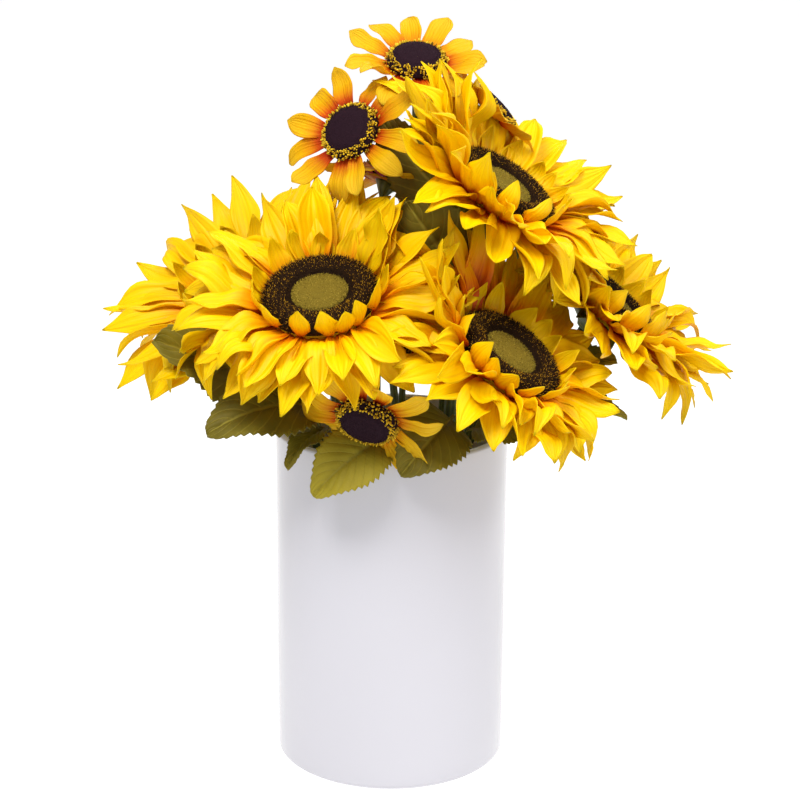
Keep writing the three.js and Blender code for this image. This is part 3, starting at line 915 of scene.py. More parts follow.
@dataclass(frozen=True)
class PetalStyle:
    """How the petals of one ring are cut and bent.

    The shares are of a petal's length or width.  The bends twist, curl, sway and fold are how
    far they spread about none, and stand is how far the petals on the near side rise.
    """

    layer: Layer
    count: int
    foot: float
    beyond: float
    thick: float = 0.35 * MM
    rows: int = 16
    columns: int = 12
    waist: float = 0.36
    widest: float = 0.52
    point: float = 1.95
    cup: float = 0.22
    fold: float = 0.30
    pleat: float = 0.75 * MM
    ruffle: float = 1.7 * MM
    wave: float = 0.05
    twist: float = 0.62
    curl: float = 0.15
    sway: float = 0.13
    shown: int = 28
    # Below 1, the foot colour climbs further up each petal; the inner ring uses this as painted shade.
    dye_and_shade_reach: float = 1.0
    stand: float = 0.0
    fuller: float = 1.0

    def spines(self, node: CadNode, head: HeadFrame) -> list[Spine]:
        """Read each petal's middle line from the ring's CAD node.

        Args:
            node: The ring's node.
            head: The frame of its head.

        Returns:
            The spines in order round the head.
        """
        local = head.inward(node.points)
        radius = np.hypot(local[:, 0], local[:, 1])
        azimuth = np.arctan2(local[:, 0], local[:, 1])
        reach = np.linalg.norm(local, axis=1)
        free = radius > self.beyond
        step = 2 * math.pi / self.count
        found: list[Spine] = []
        while free.any():
            tip = int(np.argmax(np.where(free, reach, -1)))
            off = (azimuth - azimuth[tip] + math.pi) % (2 * math.pi) - math.pi
            mine = np.abs(off) < PETAL_SHARE * step
            free &= ~mine
            middle = mine & (np.abs(off) < SAME_WAY) & (radius > self.foot - 0.6 * MM)
            flat = np.column_stack([radius, local[:, 2]])[middle]
            start = flat[np.argmin(flat[:, 0])]
            flat = flat[np.argsort(np.linalg.norm(flat - start, axis=1))]
            line = [flat[k : k + 2].mean(axis=0) for k in range(0, len(flat) - 1, 2)] + [flat[-1]]
            line.insert(0, line[0] - np.array([FOOT_REACH, 0.0]))
            half = np.abs(radius * np.sin(off))[mine & (radius > self.beyond)].max()
            found.append(Spine(float(azimuth[tip]), np.array(line), 2 * float(half) * self.fuller))
        return sorted(found, key=lambda spine: spine.azimuth)

    def full_ring(self, spines: list[Spine], rng: np.random.Generator) -> list[Spine]:
        """Fill the ring up with petals between those of the CAD, a little lower and shorter.

        Args:
            spines: The CAD's own spines, in order round the head.
            rng: The source of their small differences.

        Returns:
            All the spines of the ring.
        """
        step = 2 * math.pi / self.shown
        usual = float(np.median([spine.length() for spine in spines]))
        full = []
        for first, second in zip(spines, spines[1:] + spines[:1]):
            gap = (second.azimuth - first.azimuth) % (2 * math.pi) or 2 * math.pi
            parts = max(1, round(gap / step))
            for k in range(parts):
                made = between(first, second, k / parts)
                grow = max(1.0, 0.9 * usual / made.length())
                if k:
                    made = made.turned(rng.normal(-0.05, 0.05), rng.uniform(0.86, 1.0))
                full.append(made.turned(self.stand * (0.7 - 0.7 * math.cos(made.azimuth)), grow))
        return full

    def outline(self, s: np.ndarray) -> np.ndarray:
        """Give a petal's width along its length.

        Args:
            s: Shares of the length from the foot.

        Returns:
            The widths there, as shares of the widest.
        """
        rise = self.waist + (1 - self.waist) * np.sin(np.clip(s / self.widest, 0, 1) * math.pi / 2)
        fall = 1 - np.clip((s - self.widest) / (1 - self.widest), 0, 1) ** self.point
        return np.maximum(np.minimum(rise, 1) * fall, 0.05)

    def cut(self, spine: Spine, head: HeadFrame, draft: Draft, rng: np.random.Generator) -> None:
        """Cut one petal along its spine and add it to the ring.

        Args:
            spine: The petal's middle line.
            head: The frame of its head.
            draft: The mesh that gets the petal.
            rng: The source of its small differences.
        """
        rows, columns = self.rows, self.columns
        line = smooth_line(spine.line, rows + 1)
        length = float(np.linalg.norm(np.diff(line, axis=0), axis=1).sum())
        s = np.linspace(0, 1, rows + 1)[:, None]
        t = np.linspace(-1, 1, columns + 1)[None, :]
        way = np.gradient(line, axis=0)
        way /= np.linalg.norm(way, axis=1, keepdims=True)
        late = np.clip((s - 0.5) / 0.5, 0, 1) ** 2
        curl = float(np.clip(rng.normal(0, self.curl), -0.25, 0.25)) * length * late
        curl = curl + self.wave * length * rng.normal() * np.sin(2 * math.pi * s) * np.clip(s * 2, 0, 1)
        sway = float(np.clip(rng.normal(0, self.sway), -0.2, 0.2)) * length * s**2
        twist = float(np.clip(rng.normal(0, self.twist), -1.3, 1.3)) * s**1.5
        half = self.outline(s) * spine.width / 2
        half = half * (1 + 0.05 * np.sin(s * rng.uniform(9, 16) + t * 3 + rng.uniform(0, 6)))
        across = t * half
        trough = self.cup * half * t**2 * (1 - 0.55 * s)
        trough = trough + rng.normal(0.1, self.fold) * half * np.abs(t) ** 1.1
        swing = t + 0.12 * np.sin(3 * s + rng.uniform(0, 6))
        pleat = np.cos(rng.uniform(2.0, 3.4) * math.pi * swing + rng.uniform(0, 6))
        pleat = self.pleat * rng.uniform(0.5, 1.3) * pleat * np.sin(math.pi * np.clip(s, 0, 1)) ** 0.6
        ripple = ROUND * rng.uniform(1.2, 2.8) * s + rng.uniform(0, 6) + (t > 0) * rng.uniform(1, 4)
        edge = self.ruffle * np.abs(t) ** 2.4 * np.sin(ripple) * np.clip(s * 2, 0, 1) ** 0.8
        height = trough + (pleat + edge) * np.clip(half / (5 * MM), 0, 1)
        side = np.cos(twist) * across - np.sin(twist) * height + sway
        lift = np.sin(twist) * across + np.cos(twist) * height + curl
        r = line[:, :1] - way[:, 1:] * lift
        z = line[:, 1:] + way[:, :1] * lift
        cos, sin = math.cos(spine.azimuth), math.sin(spine.azimuth)
        grid = np.stack([r * sin + side * cos, r * cos - side * sin, z], axis=2)
        cloth = np.stack(np.broadcast_arrays(s * self.dye_and_shade_reach, t), axis=2)
        draft.add_sheet(head.outward(grid), cloth, self.thick, float(rng.uniform(0, 1)) + spine.dye_and_shade_warmth)


@dataclass(frozen=True)
class DiscPlan:
    """The make of a disc: its body's outline and its bristles."""

    radius: float
    outline: tuple[tuple[float, float], ...]
    middle: float
    bristles: int
    bristle_length: float
    bristle_width: float
    nubs: int
    nub_length: float
    fringe: int = 0

    def surface(self, radius: np.ndarray) -> tuple[np.ndarray, np.ndarray]:
        """Look up the disc's upper side.

        Args:
            radius: The radii to look at.

        Returns:
            The height and the slope at each of them.
        """
        upper = np.array(self.outline)
        order = np.argsort(upper[:, 0], kind="stable")
        xs, ys = upper[order, 0], upper[order, 1]
        height = np.interp(radius, xs, ys)
        slope = (np.interp(radius + 0.6 * MM, xs, ys) - np.interp(radius - 0.6 * MM, xs, ys)) / (1.2 * MM)
        return height, slope


LARGE_DISC = DiscPlan(
    radius=35 * MM,
    outline=(
        (0.0, 7.6 * MM), (10 * MM, 7.4 * MM), (15 * MM, 6.6 * MM), (18.5 * MM, 5.8 * MM),
        (21 * MM, 7.8 * MM), (25 * MM, 9.8 * MM), (29 * MM, 9.6 * MM), (32.5 * MM, 7.6 * MM),
        (34.5 * MM, 4.2 * MM), (34.9 * MM, 1.5 * MM),
    ),
    middle=17.4 * MM,
    bristles=6400,
    bristle_length=2.5 * MM,
    bristle_width=0.27 * MM,
    nubs=1700,
    nub_length=1.1 * MM,
)
SMALL_DISC = DiscPlan(
    radius=19 * MM,
    outline=(
        (0.0, 9.6 * MM), (8 * MM, 9.2 * MM), (13 * MM, 8.0 * MM), (16.5 * MM, 5.6 * MM),
        (18.6 * MM, 2.6 * MM), (18.9 * MM, 0.8 * MM),
    ),
    middle=0.0,
    bristles=3000,
    bristle_length=1.0 * MM,
    bristle_width=0.24 * MM,
    nubs=0,
    nub_length=0.0,
    fringe=420,
)


@dataclass
class Disc:
    """A flower's disc: a turned body under thousands of small bristles."""

    kind: HeadKind
    head: HeadFrame
    node: str
    sides: int = 56
    base: float = 0.1 * MM
    nub_width: float = 0.55 * MM
    plan: DiscPlan = field(init=False)
    slot: str = field(init=False)

    def __post_init__(self) -> None:
        """Choose the plan and the slot of the disc's kind."""
        large = self.kind is HeadKind.LARGE
        self.plan = LARGE_DISC if large else SMALL_DISC
        self.slot = "seed" if large else "dark"

    def build(self, wardrobe: Wardrobe, rng: np.random.Generator) -> None:
        """Make the body, the bristles and the middle or fringe.

        Args:
            wardrobe: Where the finishes come from.
            rng: The source of small differences.
        """
        plan = self.plan
        body = Draft()
        upper = smooth_line(np.array(plan.outline), 26)
        floor = np.array([[plan.radius - 1.5 * MM, self.base], [0.0, self.base]])
        body.add_turned(np.vstack([upper, floor]), self.head.outward, self.sides, 0.25)
        dark = DARK_BROWN_PILE if self.kind is HeadKind.LARGE else PURPLE_PILE
        body.finish(f"{self.node}_body", self.node, self.slot, wardrobe.get(dark))
        bristles = Draft()
        ring = (plan.middle, plan.radius - 0.4 * MM)
        self.plant(bristles, rng, ring, plan.bristles, plan.bristle_length, plan.bristle_width)
        bristles.finish(f"{self.node}_bristles", self.node, self.slot, wardrobe.get(dark))
        if plan.nubs:
            nubs = Draft()
            self.plant(nubs, rng, (0.0, plan.middle), plan.nubs, plan.nub_length, self.nub_width)
            self.pad(nubs)
            nubs.finish(f"{self.node}_middle", self.node, self.slot, wardrobe.get(OLIVE_PILE))
        if plan.fringe:
            florets = Draft()
            self.florets(florets, rng)
            florets.finish(f"{self.node}_florets", self.node, self.slot, wardrobe.get(FLORET_PILE))

    def plant(
        self,
        draft: Draft,
        rng: np.random.Generator,
        ring: tuple[float, float],
        count: int,
        length: float,
        width: float,
    ) -> None:
        """Plant bristles in the spiral order of a seed head.

        Args:
            draft: The mesh that gets the bristles.
            rng: The source of their small differences.
            ring: The inner and the outer radius of the planted ring.
            count: How many bristles there are.
            length: A bristle's usual length.
            width: A bristle's half width at its foot.
        """
        inner, outer = ring
        index = np.arange(count) + 0.5
        radius = np.sqrt(inner**2 + (outer**2 - inner**2) * index / count)
        radius = np.clip(radius + rng.normal(0, 0.25 * MM, count), 0, outer)
        turn = index * GOLDEN_TURN + rng.normal(0, 0.02, count)
        height, slope = self.plan.surface(radius)
        tilt = np.arctan(-slope)
        edge = np.clip((radius - inner) / max(outer - inner, 1e-9), 0, 1)
        long = length * rng.uniform(0.55, 1.25, count) * (1 - 0.35 * (1 - edge))
        lean = tilt + rng.normal(0, 0.28, count)
        side = rng.normal(0, 0.28, count)
        tone = rng.uniform(0, 1, count) * np.where(radius < inner + 0.22 * (outer - inner), 0.72, 1.0)
        long = long * np.where(radius > outer - 2.5 * MM, 1.35, 1.0)
        for i in range(count):
            cos, sin = math.cos(turn[i]), math.sin(turn[i])
            foot = np.array([radius[i] * cos, radius[i] * sin, height[i] - 0.2 * MM])
            out = np.array([cos, sin, 0.0])
            about = np.array([-sin, cos, 0.0])
            way = math.sin(lean[i]) * out + math.cos(lean[i]) * np.array([0, 0, 1.0]) + side[i] * about
            way /= np.linalg.norm(way)
            u = np.cross(way, about)
            v = np.cross(way, u)
            corners = [foot + width * (math.cos(a) * u + math.sin(a) * v) for a in (0.0, 2.094, 4.189)]
            tip = foot + way * long[i]
            points = self.head.outward(np.array([*corners, tip]))
            shade = tone[i] * np.array([0.5, 0.5, 0.5, 1.0])
            draft.add(points, ((0, 1, 3), (1, 2, 3), (2, 0, 3), (2, 1, 0)), tone=shade)

    def pad(self, draft: Draft) -> None:
        """Add the low olive cushion under the middle's nubs.

        Args:
            draft: The mesh that gets the cushion.
        """
        radii = np.linspace(0, self.plan.middle, 9)
        height, _ = self.plan.surface(radii)
        top = np.column_stack([radii, height + 0.25 * MM])
        low = np.array([[self.plan.middle, height[-1] - 1.0 * MM], [0.0, height[0] - 1.0 * MM]])
        draft.add_turned(np.vstack([top, low]), self.head.outward, 40, 0.3)

    def florets(self, draft: Draft, rng: np.random.Generator) -> None:
        """Add the ragged fringe of yellow florets round a small disc.

        Args:
            draft: The mesh that gets the florets.
            rng: The source of their small differences.
        """
        for i in range(self.plan.fringe):
            turn = i * GOLDEN_TURN + rng.normal(0, 0.1)
            radius = self.plan.radius - rng.uniform(-0.4, 4.0) * MM
            height, _ = self.plan.surface(np.array([radius]))
            cos, sin = math.cos(turn), math.sin(turn)
            foot = np.array([radius * cos, radius * sin, float(height[0]) - 0.5 * MM])
            lean = rng.uniform(0.1, 1.1)
            way = np.array([math.sin(lean) * cos, math.sin(lean) * sin, math.cos(lean)])
            way[:2] += rng.normal(0, 0.25, 2)
            way /= np.linalg.norm(way)
            u = np.cross(way, [0.3, 0.2, 0.9])
            u /= np.linalg.norm(u)
            v = np.cross(way, u)
            long = rng.uniform(1.2, 3.0) * MM
            wide = rng.uniform(0.35, 0.75) * MM
            points = []
            for share, thick in ((0.0, 0.6), (0.55, 1.0), (0.95, 0.7)):
                for k in range(5):
                    a = k / 5 * 2 * math.pi
                    spoke = math.cos(a) * u + math.sin(a) * v
                    points.append(foot + way * long * share + wide * thick * spoke)
            points.append(foot + way * long * 1.1)
            faces = [(4, 3, 2, 1, 0)]
            for k in range(5):
                after = (k + 1) % 5
                faces += [(k, after, 5 + after, 5 + k), (5 + k, 5 + after, 10 + after, 10 + k)]
                faces.append((10 + k, 10 + after, 15))
            draft.add(self.head.outward(np.array(points)), faces, tone=float(rng.uniform(0.0, 1.0)))


@dataclass(frozen=True)
class HandSet:
    """Petals on one side of a head that are bent, lengthened and added."""

    azimuth: float
    spread: float
    lift: float = 0.0
    grow: float = 1.0
    extra: int = 0
    dye_and_shade_warmth: float = 0.0

    def apply(self, spine: Spine) -> Spine:
        """Bend, lengthen and warm a petal, the more the nearer it is to the chosen side; the warming is
        painted shade on low_right, shaded and tucked, and the dye's red on upper_left.

        Args:
            spine: The petal's middle line.

        Returns:
            The changed spine.
        """
        off = (spine.azimuth - math.radians(self.azimuth) + math.pi) % (2 * math.pi) - math.pi
        share = math.exp(-((off / math.radians(self.spread)) ** 2))
        bent = spine.turned(self.lift * share, 1 + (self.grow - 1) * share)
        return replace(bent, dye_and_shade_warmth=bent.dye_and_shade_warmth + self.dye_and_shade_warmth * share)

    def more(self, spines: list[Spine], rng: np.random.Generator) -> list[Spine]:
        """Give further petals on the chosen side, made from those already there.

        Args:
            spines: The ring's own petals.
            rng: The source of their small differences.

        Returns:
            The further petals.
        """
        made = []
        for _ in range(self.extra):
            azimuth = math.radians(self.azimuth + rng.uniform(-self.spread, self.spread))
            near = min(spines, key=lambda spine: 1 - math.cos(spine.azimuth - azimuth))
            moved = replace(near, azimuth=azimuth)
            made.append(moved.turned(rng.normal(0.08, 0.12), rng.uniform(0.85, 1.05)))
        return made


HAND_SET: dict[str, tuple[HandSet, ...]] = {
    "top_right": (
        HandSet(azimuth=10, spread=60, lift=0.24, grow=1.12, extra=7),
        HandSet(azimuth=120, spread=45, lift=0.50, grow=1.14, extra=4),
    ),
    "front_left": (
        HandSet(azimuth=180, spread=50, grow=0.88),
        HandSet(azimuth=-10, spread=60, extra=4),
    ),
    "low_right": (
        HandSet(azimuth=-135, spread=50, lift=0.22, grow=0.84),
        # These upper petals stand in the shade of the heads above; their warming is painted shade.
        HandSet(azimuth=20, spread=65, lift=0.12, grow=1.22, extra=5, dye_and_shade_warmth=2.2),
    ),
    "far_right": (
        HandSet(azimuth=140, spread=60, lift=0.26, extra=3),
        HandSet(azimuth=-40, spread=60, grow=0.84),
    ),
    "upper_left": (HandSet(azimuth=-70, spread=70, dye_and_shade_warmth=1.6),),
    # The shaded and tucked heads sit in shade between the large heads; their warming is painted shade.
    "shaded": (HandSet(azimuth=0, spread=600, grow=1.2, dye_and_shade_warmth=1.5),),
    "tucked": (HandSet(azimuth=0, spread=600, dye_and_shade_warmth=1.0),),
}

PETAL_STYLES: dict[HeadKind, tuple[PetalStyle, ...]] = {
    HeadKind.LARGE: (
        PetalStyle(Layer.OUTER, 14, foot=35.8 * MM, beyond=39.5 * MM, fuller=1.17),
        PetalStyle(Layer.MIDDLE, 14, foot=35.8 * MM, beyond=39.5 * MM, fuller=1.20),
        # The inner ring's orange foot colour climbs further up each petal: painted shade for the ring that
        # sits deepest by the disc.
        PetalStyle(
            Layer.INNER, 12, foot=35.8 * MM, beyond=38.8 * MM, rows=10, columns=8, waist=0.6, widest=0.45,
            point=2.2, cup=0.45, fold=0.15, twist=0.22, curl=0.07, sway=0.08, wave=0.01, ruffle=0.5 * MM,
            pleat=0.25 * MM, shown=17, dye_and_shade_reach=0.78, stand=0.40, fuller=1.2,
        ),
    ),
    HeadKind.SMALL: (
        PetalStyle(
            Layer.SINGLE, 12, foot=18.3 * MM, beyond=22.0 * MM, rows=14, waist=0.42, widest=0.64,
            point=3.4, cup=0.2, fold=0.2, twist=0.3, curl=0.14, sway=0.08, wave=0.03, ruffle=0.7 * MM,
            pleat=0.35 * MM, shown=13, fuller=1.10,
        ),
    ),
}
SEPAL_STYLE = PetalStyle(
    Layer.SEPALS, 10, foot=24.0 * MM, beyond=27.5 * MM, thick=0.5 * MM, rows=10, columns=8, waist=0.8,
    widest=0.25, point=1.3, cup=0.2, fold=0.1, twist=0.15, curl=0.08, sway=0.05, wave=0.01,
    ruffle=0.5 * MM, pleat=0.2 * MM, shown=20,
)


@dataclass
class Head:
    """One flower head: petals ring by ring, disc and calyx."""

    name: str
    kind: HeadKind
    large_bore: float = 6 * MM
    small_bore: float = 2 * MM
    hub_short: float = 2.2 * MM
    hub_half: float = 0.4 * MM
    hub_sides: int = 48
    cup_reach: float = 24.5 * MM
    cup_sides: int = 40
    head: HeadFrame = field(init=False)

    def __post_init__(self) -> None:
        """Read the head's frame from the CAD."""
        self.head = HeadFrame.read(CadNode(f"disc_{self.name}"), CadNode(f"stem_{self.name}"))

    def build(self, wardrobe: Wardrobe, rng: np.random.Generator) -> None:
        """Make and dress every piece of the head.

        Args:
            wardrobe: Where the finishes come from.
            rng: The source of small differences.
        """
        for style in PETAL_STYLES[self.kind]:
            self.ring(style, wardrobe, rng)
        Disc(self.kind, self.head, f"disc_{self.name}").build(wardrobe, rng)
        if self.kind is HeadKind.LARGE:
            self.calyx(wardrobe, rng)

    def ring(self, style: PetalStyle, wardrobe: Wardrobe, rng: np.random.Generator) -> None:
        """Make one ring of petals on its flat hub.

        Args:
            style: How the ring's petals are cut.
            wardrobe: Where the finishes come from.
            rng: The source of small differences.
        """
        node = f"{style.layer.value}_{self.name}"
        spines = style.spines(CadNode(node), self.head)
        draft = Draft()
        full = style.full_ring(spines, rng)
        for hand in HAND_SET.get(self.name, ()) if style.stand == 0 else ():
            full = [hand.apply(spine) for spine in full + hand.more(full, rng)]
        for spine in full:
            style.cut(spine, self.head, draft, rng)
        low = float(np.mean([spine.line[0][1] for spine in spines]))
        large = self.kind is HeadKind.LARGE
        bore = self.large_bore if large else self.small_bore
        rim = style.foot - self.hub_short
        under, over = low - self.hub_half, low + self.hub_half
        hub = np.array([[bore, under], [rim, under], [rim, over], [bore, over], [bore, under]])
        draft.add_turned(hub, self.head.outward, self.hub_sides, 0.5)
        cloth = YELLOW_PETAL if large else GOLDEN_PETAL
        draft.finish(f"{node}_cloth", node, "petal" if large else "golden", wardrobe.get(cloth))

    def calyx(self, wardrobe: Wardrobe, rng: np.random.Generator) -> None:
        """Make the green cup behind a large head, with its pointed sepals.

        Args:
            wardrobe: Where the finishes come from.
            rng: The source of small differences.
        """
        node = CadNode(f"calyx_{self.name}")
        spines = SEPAL_STYLE.spines(node, self.head)
        draft = Draft()
        for spine in SEPAL_STYLE.full_ring(spines, rng):
            SEPAL_STYLE.cut(spine, self.head, draft, rng)
        local = self.head.inward(node.points)
        radius = np.hypot(local[:, 0], local[:, 1])
        keep = radius < self.cup_reach
        top, low = float(local[keep, 2].max()), float(local[keep, 2].min())
        neck = float(radius[np.abs(local[:, 2] - low) < 0.1 * MM].max())
        outline = np.array(
            [
                [0.0, top], [18 * MM, top], [25.5 * MM, top - 0.6 * MM], [26.5 * MM, top - 2.0 * MM],
                [23.5 * MM, top - 5.5 * MM], [15 * MM, top - 9.5 * MM], [9.5 * MM, low + 3.5 * MM],
                [neck, low], [0.0, low],
            ]
        )
        cup = np.vstack([outline[:2], smooth_line(outline[1:-1], 20), outline[-1:]])
        draft.add_turned(cup, self.head.outward, self.cup_sides, 0.4)
        draft.finish(f"calyx_{self.name}_sepals", node.name, "stem", wardrobe.get(SEPAL_CLOTH))


# ---------------------------------------------------------------------------
# Stems, leaves and vase
# ---------------------------------------------------------------------------
@dataclass
class Stem:
    """A moulded stem, swept along the rings of its CAD node."""

    name: str
    sides: int = 14
    ring_size: int = 6
    finer: int = 5

    def rings(self) -> tuple[np.ndarray, np.ndarray]:
        """Read the rings of the stem's skin, from its foot up.

        Returns:
            The middle and the radius of each ring.
        """
        node = CadNode(f"stem_{self.name}")
        foot = np.argsort(node.points[:, 2])[: self.ring_size]
        rings = [node.points[ring] for ring in node.walk(int(i) for i in foot)]
        middles = np.array([ring.mean(axis=0) for ring in rings])
        radii = np.array([np.linalg.norm(ring - ring.mean(axis=0), axis=1).mean() for ring in rings])
        return middles, radii

    def build(self, wardrobe: Wardrobe, rng: np.random.Generator) -> None:
        """Make and dress the stem.

        Args:
            wardrobe: Where the finish comes from.
            rng: The source of small differences.
        """
        middles, radii = self.rings()
        count = (len(middles) - 1) * self.finer + 1
        line = smooth_line(np.column_stack([middles, radii]), count)
        centre, thick = line[:, :3], line[:, 3]
        way = np.gradient(centre, axis=0)
        way /= np.linalg.norm(way, axis=1, keepdims=True)
        u = np.cross(way[0], [0.2, 1.0, 0.1])
        turns = np.arange(self.sides) / self.sides * 2 * math.pi
        points, cloth = [], []
        for k in range(count):
            u = u - (u @ way[k]) * way[k]
            u /= np.linalg.norm(u)
            v = np.cross(way[k], u)
            knot = 1 + 0.03 * math.sin(k * 1.3) + 0.02 * rng.normal()
            for n, turn in enumerate(turns):
                ridge = 1 + 0.025 * math.cos(turn * 7)
                spoke = math.cos(turn) * u + math.sin(turn) * v
                points.append(centre[k] + spoke * thick[k] * knot * ridge)
                cloth.append((k / count * 8, n / self.sides))
        last = (count - 1) * self.sides
        faces = [tuple(range(self.sides))[::-1], tuple(range(last, last + self.sides))]
        for k in range(count - 1):
            for n in range(self.sides):
                a, b = k * self.sides + n, k * self.sides + (n + 1) % self.sides
                faces.append((a, b, b + self.sides, a + self.sides))
        draft = Draft()
        draft.add(np.array(points), faces, np.array(cloth), 0.5)
        node = f"stem_{self.name}"
        draft.finish(f"{node}_moulding", node, "stem", wardrobe.get(StemPlastic()))


# How much wider than its CAD solid a leaf is cut.
USUAL_FULLNESS = 1.08
FULLER_LEAVES: dict[str, float] = {
    "leaf_left_upper": 1.35,
    "leaf_centre_upper": 1.35,
    "leaf_centre_lower": 1.95,
    "leaf_rim_middle": 1.45,
    "leaf_rim_right": 1.55,
}


@dataclass
class Leaf:
    """A cloth leaf with a toothed edge, laid along its CAD node."""

    name: str
    tone: float
    rows: int = 104
    columns: int = 20
    fuller: float = 1.0
    teeth: int = 17
    thick: float = 0.45 * MM
    veins: float = 9.0
    slant: float = 0.30

    def skeleton(self) -> tuple[np.ndarray, np.ndarray, np.ndarray]:
        """Read the leaf's lines from its CAD node.

        Returns:
            The points of the middle line, the way across at each of them, and the way that the edges rise.
        """
        node = CadNode(self.name)
        points = node.points
        apart = np.linalg.norm(points[:, None] - points[None, :], axis=2)
        ends = np.unravel_index(np.argmax(apart), apart.shape)
        tip = max(ends, key=lambda i: float(np.sort(apart[i])[1:4].sum()))
        rings = node.walk([int(tip)])[::-1]
        middles, sides, lifts = [], [], []
        for ring in rings[:-1]:
            place = points[ring]
            gaps = np.linalg.norm(place[:, None] - place[None, :], axis=2)
            i, j = np.unravel_index(np.argmax(gaps), gaps.shape)
            rest = [k for k in range(len(ring)) if k not in (i, j)]
            middles.append(place[rest].mean(axis=0))
            sides.append(place[j] - place[i])
            lifts.append((place[i] + place[j]) / 2 - middles[-1])
        middles.append(points[tip])
        for k in range(1, len(sides)):
            if sides[k] @ sides[k - 1] < 0:
                sides[k] = -sides[k]
        return np.array(middles), np.array(sides), np.sum(lifts, axis=0)

    def build(self, wardrobe: Wardrobe, rng: np.random.Generator) -> None:
        """Make and dress the leaf.

        Args:
            wardrobe: Where the finish comes from.
            rng: The source of small differences.
        """
        middles, sides, rise = self.skeleton()
        line = smooth_line(middles, self.rows + 1)
        length = float(np.linalg.norm(np.diff(line, axis=0), axis=1).sum())
        way = np.gradient(line, axis=0)
        way /= np.linalg.norm(way, axis=1, keepdims=True)
        widest = float(np.linalg.norm(sides, axis=1).max())
        side = sides[int(np.argmax(np.linalg.norm(sides, axis=1)))]
        side = side - (way @ side)[:, None] * way
        side /= np.linalg.norm(side, axis=1, keepdims=True)
        up = np.cross(side, way)
        if up[self.rows // 2] @ rise < 0:
            side, up = -side, -up
            up = np.cross(side, way)
        s = np.linspace(0, 1, self.rows + 1)[:, None]
        t = np.linspace(-1, 1, self.columns + 1)[None, :]
        blade = np.clip((s - 0.12) / 0.88, 0, 1)
        outline = 0.055 + 0.945 * np.sin(math.pi * blade**0.72) ** 0.75
        outline = outline * (s < 0.999) + 0.01
        half = outline * self.fuller * widest / 2
        saw = (s * self.teeth * 1.1) % 1.0
        toothed = 1 + 0.15 * (saw - 0.3) * np.clip((np.abs(t) - 0.72) / 0.28, 0, 1) * (blade > 0.05)
        across = t * half * toothed
        climb = s - self.slant * np.abs(t)
        swell = 0.9 * MM * np.abs(np.sin(math.pi * self.veins * climb)) ** 0.7 * (1 - np.abs(t) ** 3)
        groove = -1.3 * MM * np.exp(-((across / (1.6 * MM)) ** 2))
        trough = 0.16 * half * np.abs(t)
        ripple = ROUND * 2.3 * s + rng.uniform(0, 6) + (t > 0) * 2.0
        waves = 1.8 * MM * np.abs(t) ** 2 * np.sin(ripple)
        height = (swell + groove + waves) * np.clip(blade * 8, 0, 1) + trough
        droop = -0.04 * length * np.clip((s - 0.7) / 0.3, 0, 1) ** 2
        lift = height + droop
        grid = line[:, None, :] + across[..., None] * side[:, None, :] + lift[..., None] * up[:, None, :]
        cloth = np.stack(np.broadcast_arrays(s, t), axis=2)
        draft = Draft()
        draft.add_sheet(grid, cloth, self.thick, self.tone)
        draft.finish(f"{self.name}_cloth", self.name, "leaf", wardrobe.get(LeafCloth()))


@dataclass
class Vase:
    """The straight white vase, turned in one piece with a rounded rim and an unglazed foot ring."""

    wall: float = 5 * MM
    floor: float = 8 * MM
    rim: float = 2.5 * MM
    sides: int = 160
    node: str = "vase"
    low: Vector = field(default_factory=lambda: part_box("vase")[0])
    high: Vector = field(default_factory=lambda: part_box("vase")[1])

    def outline(self) -> tuple[np.ndarray, np.ndarray]:
        """Draw the vase's turned outline.

        Returns:
            Its points, and for each of them whether it is bare clay.
        """
        radius = (self.high.x - self.low.x) / 2
        top = self.high.z
        inner = radius - self.wall
        foot = [(0.0, 0.9 * MM), (radius - 13 * MM, 0.9 * MM), (radius - 11.5 * MM, 0.25 * MM)]
        foot += [(radius - 10.5 * MM, 0.0), (radius - 4.4 * MM, 0.0)]
        bare = len(foot)
        corner = [
            (radius - 3.6 * MM * (1 - math.sin(a)), 3.6 * MM * (1 - math.cos(a)))
            for a in np.linspace(0.1, math.pi / 2, 7)
        ]
        sides = [(radius, z) for z in np.linspace(12 * MM, top - self.rim - 6 * MM, 12)]
        lip = [
            (radius - self.rim + self.rim * math.cos(a), top - self.rim + self.rim * math.sin(a))
            for a in np.linspace(0, math.pi, 15)
        ]
        inside = [(inner, z) for z in np.linspace(top - self.rim - 6 * MM, self.floor + 9 * MM, 8)]
        turn = [
            (inner - 7 * MM * (1 - math.cos(a)), self.floor + 7 * MM * (1 - math.sin(a)))
            for a in np.linspace(0, math.pi / 2, 6)
        ]
        points = foot + corner + sides + lip + inside + turn + [(0.0, self.floor)]
        return np.array(points), np.arange(len(points)) < bare

    def build(self, wardrobe: Wardrobe) -> None:
        """Make and dress the vase.

        Args:
            wardrobe: Where the finish comes from.
        """
        outline, bare = self.outline()
        draft = Draft()
        draft.add_turned(outline, lambda points: points, self.sides, 0.5)
        flags = []
        for (r, _), is_bare in zip(outline, bare):
            flags += [float(is_bare)] * (1 if r < 1e-9 else self.sides)
        draft.under[-1] = np.array(flags)
        draft.finish("vase_glazed", self.node, "glaze", wardrobe.get(Glaze()))


# ---------------------------------------------------------------------------
# Studio
# ---------------------------------------------------------------------------
@dataclass(frozen=True)
class SoftLight:
    """One large soft light, aimed at the bunch."""

    name: str
    place: tuple[float, float, float]
    size: float
    power: float
    tint: Colour = (1.0, 1.0, 1.0)

    def hang(self, aim: Vector) -> None:
        """Hang the light and turn it towards a point.

        Args:
            aim: The point.
        """
        lamp = bpy.data.lights.new(self.name, "AREA")
        lamp.shape = "SQUARE"
        lamp.size = self.size
        lamp.energy = self.power
        lamp.color = self.tint
        holder = bpy.data.objects.new(self.name, lamp)
        holder.location = self.place
        holder.rotation_euler = (aim - Vector(self.place)).to_track_quat("-Z", "Y").to_euler()
        bpy.context.collection.objects.link(holder)


